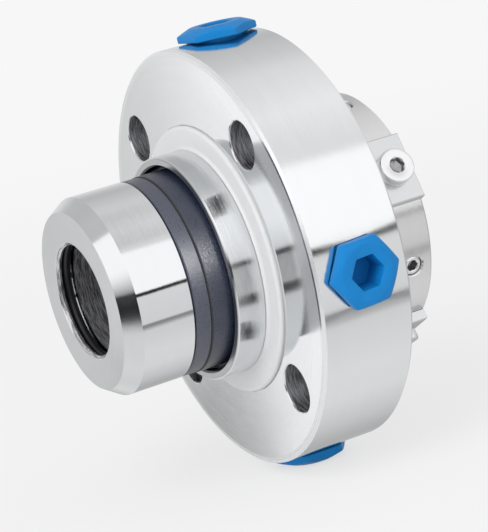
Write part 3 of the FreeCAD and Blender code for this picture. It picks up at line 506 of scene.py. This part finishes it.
def plug_skin(size):
    """A moulded plug: socket, face, sloping crown, rounded hexagon, and the core under its thread."""
    socket_size, socket_depth = PLUG_SOCKET
    floor = PLUG_TOP - socket_depth
    neck, tip = PLUG_UNDERSIDE - 0.9, PLUG_TIP + 0.8
    loops = plug_socket(floor, socket_size) + plug_crown(size)
    loops += [round_loop(plug_shank_radius(height) - 0.1, height) for height in (PLUG_UNDERSIDE, neck)]
    loops.append(round_loop(plug_shank_radius(neck) - PLUG_CORE_DEPTH, neck - 0.6))
    loops.append(round_loop(plug_shank_radius(tip) - PLUG_CORE_DEPTH, tip))
    loops.append(round_loop(plug_shank_radius(tip) - PLUG_CORE_DEPTH - 0.6, PLUG_TIP))
    return skin(loops, (0.0, 0.0, floor), (0.0, 0.0, PLUG_TIP))


def screw_socket(socket, top):
    """The loops of a screw's hexagon socket, from its drilled floor to its countersunk mouth."""
    size, depth = socket
    half_corner = size / 2.0 / FLAT_TO_CORNER
    return [
        flat_loop(hexagon(size, 0.15), top - depth),
        flat_loop(hexagon(size, 0.15), top - 0.35),
        round_loop(half_corner - 0.05, top - 0.22),
        round_loop(half_corner + 0.12, top - 0.02),
        round_loop(half_corner + 0.2, top),
    ]


def rounded(radius, height, edge, upwards):
    """The loops that round the rim of a head: from its face to its side, or from its side to its foot."""
    loops = []
    steps = 4
    for step in range(steps + 1):
        turn = QUARTER * step / steps
        out, drop = 1.0 - math.sin(turn), 1.0 - math.cos(turn)
        if upwards:
            loops.append(round_loop(radius - edge * out, height - edge * drop))
        else:
            loops.append(round_loop(radius - edge * drop, height + edge * out))
    return loops


def cap_screw_skin():
    """The low head, socket and core of a clip's cap screw."""
    loops = screw_socket(CAP_SOCKET, CAP_TOP)
    loops.append(round_loop(CAP_RADIUS - 0.75, CAP_TOP))
    loops += rounded(CAP_RADIUS, CAP_TOP, 0.5, True)
    loops += rounded(CAP_RADIUS, CAP_SEAT, 0.15, False)
    loops += [
        round_loop(SCREW_RADIUS, CAP_SEAT),
        round_loop(SCREW_RADIUS, CAP_SEAT - 0.8),
        round_loop(SCREW_CORE, CAP_SEAT - 1.3),
        round_loop(SCREW_CORE, CAP_TIP + 0.5),
        round_loop(SCREW_CORE - 0.5, CAP_TIP),
    ]
    return skin(loops, (0.0, 0.0, CAP_TOP - CAP_SOCKET[1] - 0.8), (0.0, 0.0, CAP_TIP))


def set_screw_skin():
    """The socket, core and cup point of one of the collar's set screws."""
    loops = screw_socket(SET_SOCKET, SET_TOP)
    loops += [
        round_loop(SCREW_CORE - 0.05, SET_TOP),
        round_loop(SCREW_CORE + 0.06, SET_TOP - 0.05),
        round_loop(SCREW_RADIUS, SET_TOP - 0.5),
        round_loop(SCREW_RADIUS, SET_TOP - 0.8),
        round_loop(SCREW_CORE, SET_TOP - 1.2),
        round_loop(SCREW_CORE, SET_TIP + 0.5),
        round_loop(2.0, SET_TIP),
        round_loop(1.5, SET_TIP),
    ]
    return skin(loops, (0.0, 0.0, SET_TOP - SET_SOCKET[1] - 0.6), (0.0, 0.0, SET_TIP + 0.8))


def gasket_skin():
    """The white gasket: a flat ring with soft edges, and a low lip against the neck."""
    count = 240
    shell = bmesh.new()
    rows = []
    for index in range(count):
        outward = spoke(360.0 * index / count)
        rows.append([shell.verts.new(outward * radius + AXIS * y) for radius, y in GASKET_SECTION])
    for index, row in enumerate(rows):
        after = rows[(index + 1) % count]
        for corner in range(len(row)):
            following = (corner + 1) % len(row)
            shell.faces.new((row[corner], row[following], after[following], after[corner]))
    mesh = bpy.data.meshes.new("gasket_skin")
    shell.to_mesh(mesh)
    shell.free()
    return mesh


def add_plugs(ridge, plastic):
    """The three moulded port plugs with their tapered threads."""
    low, high = PLUG_TIP + 1.3, PLUG_UNDERSIDE - 1.6
    for name, (angle, setback, size, turn) in PLUGS.items():
        thread = ridge.grown({
            "Turns": (high - low) / PLUG_PITCH, "Pitch": PLUG_PITCH, "Depth": PLUG_THREAD_DEPTH,
            "Start Radius": plug_shank_radius(low) - PLUG_CORE_DEPTH,
            "End Radius": plug_shank_radius(high) - PLUG_CORE_DEPTH,
        }, plastic)
        place = seat(angle, setback, turn)
        parts = [(plug_skin(size), place), (thread, place @ Matrix.Translation((0, 0, low)))]
        piece(f"moulded_plug_{name}", parts, plastic, f"plug_{name}", f"port_plug_{name}")


def add_screws(ridge, steel):
    """The clips' cap screws, each on its clip, and the collar's set screws."""

    def screw_thread(low, high, place):
        """The thread of a screw between two heights, with its frame."""
        sizes = {
            "Turns": (high - low) / SCREW_PITCH, "Pitch": SCREW_PITCH, "Start Radius": SCREW_CORE,
            "End Radius": SCREW_CORE, "Depth": SCREW_RADIUS - SCREW_CORE - 0.01,
        }
        return ridge.grown(sizes, steel), place @ Matrix.Translation((0, 0, low))

    for number, angle in enumerate(CLIP_ANGLES, start=1):
        place = seat(angle, FASTENER_Y)
        parts = [(cap_screw_skin(), place), screw_thread(CAP_TIP + 0.9, CAP_SEAT - 1.2, place)]
        piece(f"clip_cap_screw_{number}", parts, steel, f"clip_{number}",
              f"clip_screw_{number}")
    parts = []
    for angle in SET_SCREW_ANGLES:
        place = seat(angle, FASTENER_Y)
        parts += [(set_screw_skin(), place), screw_thread(SET_TIP + 0.9, SET_TOP - 1.1, place)]
    piece("collar_set_screws", parts, steel, "rotor", "drive_set_screws")


def add_springs(steel):
    """The coil springs behind the stationary ring, riding on the gland."""
    coils = spring_ring().grown(SPRING_SIZES, steel)
    place = (Matrix.Translation(AXIS * SPRING_SEAT) @ Matrix.Rotation(SPRING_TURN, 4, "Y")
             @ Matrix.Rotation(QUARTER, 4, "X"))
    wound = piece("face_coil_springs", [(coils, place)], steel, "gland", "face_springs")
    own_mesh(wound)


def add_pieces(finishes):
    """The moulded, rolled and wound pieces that stand in for plain solids of the frame."""
    ridge = thread_ridge()
    add_plugs(ridge, finishes["blue_plastic"])
    add_screws(ridge, finishes["fastener_steel"])
    piece("neck_gasket", [(gasket_skin(), Matrix.Identity(4))], finishes["white_gasket"], "gland",
          "gland_gasket")
    add_springs(finishes["spring_steel"])


class Finish(Nodes):
    """The nodes of one material or of the world."""

    def place(self):
        """The place on the part, in millimetres, as three numbers."""
        spot = self.node("ShaderNodeTexCoord").outputs["Object"]
        return [part * METRE_IN_MM for part in self.parts(spot)]

    def distance(self, first, second):
        """How far a point is from where two of its numbers are 0, never quite 0 itself."""
        return self.maths("SQRT", first * first + second * second + 0.01)

    def rise(self, value, start, end, low=0.0, high=1.0):
        """A soft step from low to high while a number goes from start to end."""
        made = self.node("ShaderNodeMapRange", {"interpolation_type": "SMOOTHSTEP"},
                         {"Value": value, "From Min": start, "From Max": end, "To Min": low, "To Max": high})
        return Reading(self, made.outputs["Result"])

    def below(self, value, limit, border):
        """1 where a number is below a limit, with a soft border inside it, and otherwise 0."""
        return self.rise(value, limit, limit - border)

    def above(self, value, limit, border):
        """1 where a number is above a limit, with a soft border inside it, and otherwise 0."""
        return self.rise(value, limit, limit + border)

    def noise(self, vector, scale, detail=2.0, roughness=0.5):
        """Smooth random levels about one half."""
        made = self.node("ShaderNodeTexNoise",
                         inputs={"Vector": vector, "Scale": scale, "Detail": detail, "Roughness": roughness})
        return Reading(self, made.outputs[0])

    def ramp(self, value, stops):
        """The level of a ramp at a number."""
        made = self.node("ShaderNodeValToRGB", {"stops": stops}, {"Fac": value})
        return self.parts(made.outputs["Color"])[0]

    def between(self, share, low, high):
        """A colour between two others."""
        inputs = {0: share, 6: self.colour(low), 7: self.colour(high)}
        return self.node("ShaderNodeMix", {"data_type": "RGBA"}, inputs).outputs[2]

    @staticmethod
    def colour(value):
        """Three numbers as a colour with its alpha. A link is left as it is."""
        return value if isinstance(value, bpy.types.NodeSocket) else (*value, 1.0)

    def bump(self, height, depth):
        """The normal of a surface with a height in it, whose full range is depth millimetres."""
        inputs = {"Strength": 1.0, "Distance": depth * MM, "Height": height}
        return self.node("ShaderNodeBump", inputs=inputs).outputs[0]

    def seen(self):
        """1 for what the camera sees directly, and 0 for what lights the part or is mirrored in it."""
        return Reading(self, self.node("ShaderNodeLightPath").outputs["Is Camera Ray"])

    def surface(self, inputs):
        """Ends a material in its shader."""
        shader = self.node("ShaderNodeBsdfPrincipled", inputs=inputs)
        self.node("ShaderNodeOutputMaterial", inputs={"Surface": shader.outputs[0]})


def new_finish(name):
    """A new material and its nodes."""
    material = bpy.data.materials.new(name)
    material.use_nodes = True
    return material, Finish(material.node_tree)


def drilled_walls(finish, x, y, z, radius):
    """The walls of the bolt holes and the bore: where the holes are, where both are, their marks and colour.

    Their marks run round them. As painted light and shade, walls that face sideways are painted lighter than
    walls that face up or down, and the bore's walls are painted lighter too."""
    from_hole_x = abs(x) - HOLE_CENTRE
    from_hole = finish.distance(from_hole_x, abs(z) - HOLE_CENTRE)
    in_hole = finish.below(from_hole, HOLE_RADIUS + 0.25, 0.2)
    in_bore = finish.below(radius, BORE_RADIUS + 0.9, 0.4)
    marks = finish.noise(finish.point(y * 3.4, x * 0.25, z * 0.25), 1.0, 4.0, 0.65)
    # Painted light and shade: walls that face sideways are painted lighter, and the bore's walls are painted
    # lighter still.
    sideways = finish.rise(abs(from_hole_x) / (from_hole + 0.1), 0.35, 0.95)
    painted_light_by_facing = finish.maths("MAXIMUM", sideways, in_bore * 0.45)
    colour = finish.between(finish.rise(marks, 0.43, 0.57) * 0.6 + painted_light_by_facing * 0.4, DRILLED_DARK, DRILLED_LIGHT)
    return in_hole, finish.maths("MAXIMUM", in_hole, in_bore), marks, colour


def turned_steel(name, dark, light, roughness, groove_depth, grooves_per_mm, neck_groove=1.0,
                 face_groove=1.0):
    """Stainless steel turned about the seal's axis: fine grooves run round it, on faces and on rims alike.

    The drilled walls are rougher and darker. The gland's neck has coarser grooves than its rim, and its flat
    face has finer ones, with a pale haze towards +X. The neck's front face is painted grey, as painted shade
    beside the seal ring. The rim's front edge and the nose chamfer are duller."""
    material, finish = new_finish(name)
    x, y, z = finish.place()
    radius = finish.distance(x, z)
    cosine, sine = x / radius, z / radius
    in_hole, drilled, marks, drilled_colour = drilled_walls(finish, x, y, z, radius)
    travel = radius * 0.93 * (1.0 - in_hole) + y

    def rings(per_mm, drift, detail=2.0, sharpness=0.5):
        """Random levels in rings round the axis, so many to the millimetre, which drift slowly round it."""
        spot = finish.point(travel * per_mm, cosine * drift, sine * drift)
        return finish.noise(spot, 1.0, detail, sharpness)

    grooves = rings(grooves_per_mm, 1.3, 3.0, 0.6)
    hairs = rings(grooves_per_mm * 4.3, 2.6)
    sweep = rings(0.35, 0.8)
    cloud = finish.noise(finish.point(x, y, z), 0.12, 3.0)
    tone = finish.between(sweep * 0.4 + cloud * 0.35 + grooves * 0.25, dark, light)
    on_neck = (finish.below(radius, NECK_RADIUS + 1.0, 0.5) * finish.below(y, 0.0, 0.5)
               * finish.above(radius, NECK_RADIUS - 2.9, 0.2))
    on_face = finish.below(radius, RIM_RADIUS - 1.6, 0.3) * finish.below(y, 0.3, 0.2) * (1.0 - on_neck)
    # Painted shade: the neck's front face, beside the seal ring's gap, is painted grey where shade falls.
    neck_front_shade = (finish.below(radius, NECK_RADIUS - 0.15, 0.3) * finish.below(y, NECK_FRONT + 1.3, 0.5)
                  * on_neck)
    haze = on_face * finish.rise(radius, 50.0, 56.5) * finish.rise(x, 5.0, 30.0)
    rim_edge = finish.above(radius, RIM_RADIUS - 0.95, 0.2) * finish.below(y, 0.9, 0.2)
    nose_chamfer = finish.above(radius, NOSE_RADIUS, 0.3) * finish.below(y, CHAMFER_END, 0.3)
    height = grooves * 0.6 * (1.0 - on_neck * 0.6) + hairs * 0.4 * (1.0 + on_neck * (neck_groove - 1.0))
    height = height * (1.0 + on_face * (face_groove - 1.0)) * (1.0 - drilled * 0.5) + marks * drilled * 3.5
    outside = finish.between(neck_front_shade, tone, NECK_FRONT_SHADE)
    polished = (roughness + (grooves - 0.5) * 0.08 + (cloud - 0.5) * 0.05) * (1.0 - on_face * FACE_POLISH)
    finish.surface({
        "Base Color": finish.between(drilled, outside, drilled_colour),
        "Metallic": 1.0 - drilled * 0.15 - haze * 0.35 - rim_edge * 0.35,
        "Roughness": (polished + drilled * 0.27 + haze * 0.05 + rim_edge * 0.2 + nose_chamfer * 0.07
                      + on_neck * 0.02),
        "Normal": finish.bump(height, groove_depth),
    })
    return material


def in_sockets(finish, x, y, z, rows):
    """1 in the hexagon sockets of rows of screws, where painted shade goes, and otherwise 0.

    A row is four screws round the axis: the first one's polar angle, their top, and half a socket's width."""
    inside = 0.0
    for angle, top, reach in rows:
        cosine, sine = math.cos(math.radians(angle)), math.sin(math.radians(angle))
        first, second = abs(x * cosine + z * sine), abs(z * cosine - x * sine)
        out = finish.maths("MAXIMUM", first, second)
        aside = finish.maths("MINIMUM", first, second)
        from_screw = finish.distance(aside, y - FASTENER_Y)
        inside = inside + (finish.below(from_screw, reach + 0.1, 0.1) * finish.below(out, top - 0.05, 0.4)
                           * finish.above(out, top - 4.1, 0.2))
    return inside


def milled_steel(name, dark, light, roughness, groove_depth, sockets=()):
    """Steel of clips, screws, pins and springs: satin, with short random marks, and its sockets painted
    darker as painted shade.
    """
    material, finish = new_finish(name)
    x, y, z = finish.place()
    # Painted shade: the screws' hexagon sockets are painted grey, where shade falls in them.
    inside = in_sockets(finish, x, y, z, sockets)
    marks = finish.noise(finish.point(x * 0.6, y * 6.0, z * 0.6), 1.0, 3.0, 0.6)
    grain = finish.noise(finish.point(x, y, z), 5.0, 3.0, 0.6)
    satin = finish.between(marks * 0.6 + grain * 0.4, dark, light)
    finish.surface({
        "Base Color": finish.between(inside, satin, SOCKET_SHADE),
        "Metallic": 1.0,
        "Roughness": roughness + (grain - 0.5) * 0.15 + inside * 0.1,
        "Normal": finish.bump(marks * 0.5 + grain * 0.5, groove_depth),
    })
    return material


def lapped_ring(name, dark, light, roughness, refraction, node):
    """A ring of sintered material: half matte, finely mottled, with faint turning lines, and its ends painted
    near black as painted shade in the crevices beside it.
    """
    material, finish = new_finish(name)
    x, y, z = finish.place()
    front, back = (corner[1] * METRE_IN_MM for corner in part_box(node))
    # Painted shade: the ring's ends are painted near black, as the shade in the crevices between it and its
    # neighbours.
    edge = finish.maths("MAXIMUM", finish.below(y, front + 0.5, 0.2), finish.above(y, back - 0.2, 0.15))
    mottle = finish.rise(finish.noise(finish.point(x, y, z), 2.2, 4.0, 0.65), 0.3, 0.7)
    patches = finish.noise(finish.point(x, y, z), 0.25, 3.0)
    lines = finish.noise(finish.point(y * 5.0, x * 0.03, z * 0.03), 1.0, 2.0)
    body = finish.between(mottle * 0.5 + patches * 0.3 + lines * 0.2, dark, light)
    finish.surface({
        "Base Color": finish.between(edge, body, RING_EDGE_SHADE),
        "Metallic": 0.0,
        "IOR": refraction,
        "Roughness": roughness + (mottle - 0.5) * 0.19 + edge * 0.4,
        "Normal": finish.bump(mottle * 0.6 + lines * 0.4, 0.026),
    })
    return material


def rubber(name):
    """Black moulded rubber of the O-rings, with a faint bloom."""
    material, finish = new_finish(name)
    x, y, z = finish.place()
    grain = finish.noise(finish.point(x, y, z), 6.0, 3.0)
    bloom = finish.noise(finish.point(x, y, z), 0.5, 3.0)
    finish.surface({
        "Base Color": finish.between(bloom, (0.004, 0.004, 0.005), (0.010, 0.010, 0.012)),
        "Specular IOR Level": 0.5,
        "Roughness": 0.38 + (bloom - 0.5) * 0.2,
        "Normal": finish.bump(grain, 0.01),
    })
    return material


def gasket_white(name):
    """White pressed gasket sheet: smooth and matte, with a soft mottle."""
    material, finish = new_finish(name)
    x, y, z = finish.place()
    radius = finish.distance(x, z)
    mottle = finish.noise(finish.point(x, y, z), 0.8, 4.0, 0.6)
    lines = finish.noise(finish.point(radius * 1.4, x * 0.05, z * 0.05), 1.0, 2.0)
    finish.surface({
        "Base Color": finish.between(mottle * 0.6 + lines * 0.4, (0.56, 0.57, 0.575), (0.68, 0.69, 0.695)),
        "Roughness": 0.42 + (mottle - 0.5) * 0.15,
        "Normal": finish.bump(mottle * 0.5 + lines * 0.5, 0.03),
    })
    return material


def moulded_blue(name):
    """Blue moulded plastic of the port plugs, with a fine sparked skin."""
    material, finish = new_finish(name)
    x, y, z = finish.place()
    grain = finish.noise(finish.point(x, y, z), 4.0, 4.0, 0.6)
    flow = finish.noise(finish.point(x, y, z), 0.2, 2.0)
    finish.surface({
        "Base Color": finish.between(flow * 0.7 + grain * 0.3, (0.004, 0.17, 0.46), (0.008, 0.21, 0.55)),
        "Specular IOR Level": 0.18,
        "Roughness": 0.40 + (grain - 0.5) * 0.15,
        "Normal": finish.bump(grain, 0.02),
    })
    return material


def turned_finishes():
    """The finishes of the turned steel parts."""
    return {
        "gland_steel": turned_steel(
            "turned_gland_steel", dark=(0.768, 0.783, 0.792), light=(0.838, 0.853, 0.862), roughness=0.10,
            groove_depth=0.013, grooves_per_mm=3.0, neck_groove=3.4, face_groove=0.35),
        "sleeve_steel": turned_steel(
            "turned_sleeve_steel", dark=(0.738, 0.756, 0.766), light=(0.798, 0.816, 0.826), roughness=0.09,
            groove_depth=0.012, grooves_per_mm=3.4),
        "collar_steel": turned_steel(
            "turned_collar_steel", dark=(0.68, 0.68, 0.68), light=(0.78, 0.78, 0.78), roughness=0.20,
            groove_depth=0.02, grooves_per_mm=2.6),
    }


def milled_finishes():
    """The finishes of clips, screws, pins and springs."""
    sockets = ((CLIP_ANGLES[0], CAP_TOP, 2.45), (SET_SCREW_ANGLES[0], SET_TOP, 1.9))
    return {
        "clip_steel": milled_steel(
            "milled_clip_steel", dark=(0.60, 0.61, 0.62), light=(0.72, 0.73, 0.74), roughness=0.26,
            groove_depth=0.006),
        "fastener_steel": milled_steel(
            "fastener_steel", dark=(0.72, 0.72, 0.73), light=(0.88, 0.88, 0.89), roughness=0.20,
            groove_depth=0.004, sockets=sockets),
        "pin_steel": milled_steel(
            "pin_steel", dark=(0.60, 0.60, 0.60), light=(0.74, 0.74, 0.74), roughness=0.25,
            groove_depth=0.003),
        "spring_steel": milled_steel(
            "spring_steel", dark=(0.48, 0.48, 0.50), light=(0.62, 0.62, 0.64), roughness=0.30,
            groove_depth=0.003),
    }


def ring_finishes():
    """The finishes of the two seal rings and the throttle bush."""
    return {
        "slate_seal_ring": lapped_ring(
            "slate_seal_ring", dark=(0.018, 0.023, 0.038), light=(0.044, 0.052, 0.080), roughness=0.34,
            refraction=1.85, node="rotary_face"),
        "dark_seal_ring": lapped_ring(
            "dark_seal_ring", dark=(0.007, 0.011, 0.026), light=(0.018, 0.026, 0.050), roughness=0.33,
            refraction=1.83, node="stationary_face"),
        "carbon_bush": lapped_ring(
            "carbon_bush", dark=(0.015, 0.015, 0.018), light=(0.030, 0.030, 0.034), roughness=0.40,
            refraction=1.6, node="throttle_bush"),
    }


def all_finishes():
    """The finish of each material slot of the record."""
    return {
        **turned_finishes(),
        **milled_finishes(),
        **ring_finishes(),
        "white_gasket": gasket_white("white_gasket"),
        "blue_plastic": moulded_blue("moulded_blue"),
        "black_rubber": rubber("black_rubber"),
    }


def dress_frame(finishes):
    """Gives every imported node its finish, by the material slot that the record gives it."""
    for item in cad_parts.values():
        slot = item.material_slots[0].material.name.split(".")[0]
        item.material_slots[0].material = finishes[slot]


def by_degrees(finish, turn, table, span=360.0):
    """The level at a direction round the axis, from a table of degrees and levels over a span about 0."""
    return finish.ramp(turn / span + 0.5, [(degrees / span + 0.5, grey) for degrees, grey in table])


def studio_walls(finish, turn, along):
    """The level of the walls, which changes from those behind the gland to those ahead of it."""
    behind = by_degrees(finish, turn, WALLS_BEHIND)
    ahead = by_degrees(finish, turn, WALLS_AHEAD)
    near_head = (finish.rise(along, 0.415, 0.375) * finish.rise(turn, 48.0, 60.0)
                 * finish.rise(turn, 122.0, 92.0))
    behind = behind * (1.0 - near_head * 0.28)
    return behind + finish.rise(along, 0.32, -0.05) * (ahead - behind)


def window_edges(finish, along):
    """The lower and the upper edge of the window, in degrees round the axis."""
    stops = [(place * 0.5 + 0.5, (degrees - WINDOW_FOOT_LOW) / WINDOW_FOOT_SPAN)
             for place, degrees in WINDOW_FOOT]
    low_edge = finish.ramp(along * 0.5 + 0.5, stops) * WINDOW_FOOT_SPAN + WINDOW_FOOT_LOW
    high_edge = (0.4 - along) * 31.0 + 47.5 + finish.rise(along, -0.42, -0.58) * 7.0
    return low_edge, high_edge


def dark_gaps(finish, turn, along, low_edge):
    """How dark the two gaps between panels are: one at the window's foot, and one lower down.

    Both are slimmer towards the seal's back, and far ahead, where the chamfer of the nose shows them."""
    slim = finish.maths("MAXIMUM", finish.rise(along, -0.2, 0.2), finish.rise(along, -0.46, -0.54))
    upper = (finish.rise(turn, low_edge - 6.0 + slim * 1.5, low_edge - 4.9 + slim * 1.2)
             * finish.rise(turn, low_edge + 0.2, low_edge - 0.4))
    lower = (finish.rise(turn, slim * 0.5 - 45.0, slim * 4.5 - 42.0)
             * finish.rise(turn, -31.0 - slim * 3.5, -33.0 - slim * 3.2)
             * finish.rise(along, -0.60, -0.48) * (0.97 - slim * 0.35))
    return upper, lower


def face_card(finish, across, along, up):
    """The grey card that the gland's face mirrors: where it is, and its level, darker at its foot."""
    card = finish.rise(across, -0.55, -0.8) * finish.rise(along, 0.05, -0.25) * finish.rise(up, 0.30, 0.05)
    foot = (finish.rise(up, -0.205, -0.24) * finish.rise(along, -0.400, -0.384)
            * finish.rise(along, -0.352, -0.364))
    level = finish.rise(along, -0.34, -0.372, 0.655, 0.74) + finish.rise(along, -0.385, -0.412, 0.0, 0.27)
    return card, level * (1.0 - foot * 0.42)


def studio_world():
    """The light studio that polished steel shows: panels and dark gaps, by direction round the axis."""
    world = bpy.data.worlds.new("studio")
    world.use_nodes = True
    bpy.context.scene.world = world
    finish = Finish(world.node_tree)
    across, along, up = finish.parts(finish.node("ShaderNodeTexCoord").outputs["Generated"])
    turn = finish.maths("ARCTAN2", up, across) * (180.0 / math.pi)
    walls = studio_walls(finish, turn, along)
    low_edge, high_edge = window_edges(finish, along)
    window = (finish.rise(turn, low_edge - 0.7, low_edge + 0.7)
              * finish.rise(turn, high_edge + 1.5, high_edge - 1.5))
    card, card_level = face_card(finish, across, along, up)
    upper_gap, lower_gap = dark_gaps(finish, turn, along, low_edge)
    flag = by_degrees(finish, turn, FLAG, FLAG_SPAN) * finish.rise(along, -0.30, -0.62)
    level = walls + window * (WINDOW_LEVEL - walls)
    level = level + card * (card_level - level)
    level = level * (1.0 - upper_gap * 0.96) * (1.0 - lower_gap) * (1.0 - flag)
    shade = level + finish.seen() * (PALE - level)
    light = finish.node("ShaderNodeBackground", inputs={"Color": (1.0, 1.0, 1.0, 1.0), "Strength": shade})
    finish.node("ShaderNodeOutputWorld", inputs={"Surface": light.outputs[0]})


def pale_floor():
    """A plain pale floor under the seal, which keeps a soft shadow and fades into the pale backdrop."""
    mesh = bpy.data.meshes.new("pale_floor")
    corners = [(side * FLOOR_REACH, end * FLOOR_REACH, CAD_BOX[0].z)
               for side, end in ((-1, -1), (1, -1), (1, 1), (-1, 1))]
    mesh.from_pydata(corners, [], [(0, 1, 2, 3)])
    floor = bpy.data.objects.new("pale_floor", mesh)
    bpy.context.scene.collection.objects.link(floor)
    material, finish = new_finish("pale_floor")
    matte = finish.node("ShaderNodeBsdfDiffuse", inputs={"Color": (0.80, 0.80, 0.80, 1.0)})
    glow = finish.node("ShaderNodeEmission", inputs={"Color": (PALE, PALE, PALE, 1.0), "Strength": 1.0})
    x, y, _ = finish.place()
    share = finish.seen() * finish.rise(finish.distance(x, y), *FLOOR_FADE, 0.7, 1.0)
    mixed = finish.node("ShaderNodeMixShader", inputs={0: share, 1: matte.outputs[0], 2: glow.outputs[0]})
    finish.node("ShaderNodeOutputMaterial", inputs={"Surface": mixed.outputs[0]})
    mesh.materials.append(material)
    floor.visible_glossy = False


def soft_lamp(name, place, size, power, lit):
    """A large soft lamp aimed at the seal. It lights matte surfaces and stays out of the steel's reflections.

    Where nodes are named, it lights those alone, and they show it."""
    data = bpy.data.lights.new(name, "AREA")
    data.shape = "DISK"
    data.size = size
    data.energy = power
    lamp = bpy.data.objects.new(name, data)
    bpy.context.scene.collection.objects.link(lamp)
    lamp.location = place
    lamp.rotation_euler = (-Vector(place)).to_track_quat("-Z", "Y").to_euler()
    lamp.visible_camera = False
    lamp.visible_glossy = bool(lit)
    if lit:
        lamp.light_linking.receiver_collection = bpy.data.collections.new(name)
    for node in lit:
        lamp.light_linking.receiver_collection.objects.link(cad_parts[node])


def place_camera():
    """The camera of the photograph."""
    data = bpy.data.cameras.new("camera")
    data.sensor_width = CAMERA_SENSOR
    data.lens = CAMERA_LENS
    data.clip_start = CAMERA_NEAR
    data.clip_end = CAMERA_FAR
    camera = bpy.data.objects.new("camera", data)
    bpy.context.scene.collection.objects.link(camera)
    right, up = Vector(CAMERA_RIGHT).normalized(), Vector(CAMERA_UP)
    back = right.cross(up).normalized()
    up = back.cross(right)
    camera.matrix_world = Matrix.Translation(CAMERA_PLACE) @ Matrix((right, up, back)).transposed().to_4x4()
    bpy.context.scene.camera = camera


bpy.context.scene.view_settings.view_transform = "Standard"
place_camera()
studio_world()
pale_floor()
for lamp_name, lamp_facts in LAMPS.items():
    soft_lamp(lamp_name, *lamp_facts)
FINISHES = all_finishes()
dress_frame(FINISHES)
add_pieces(FINISHES)
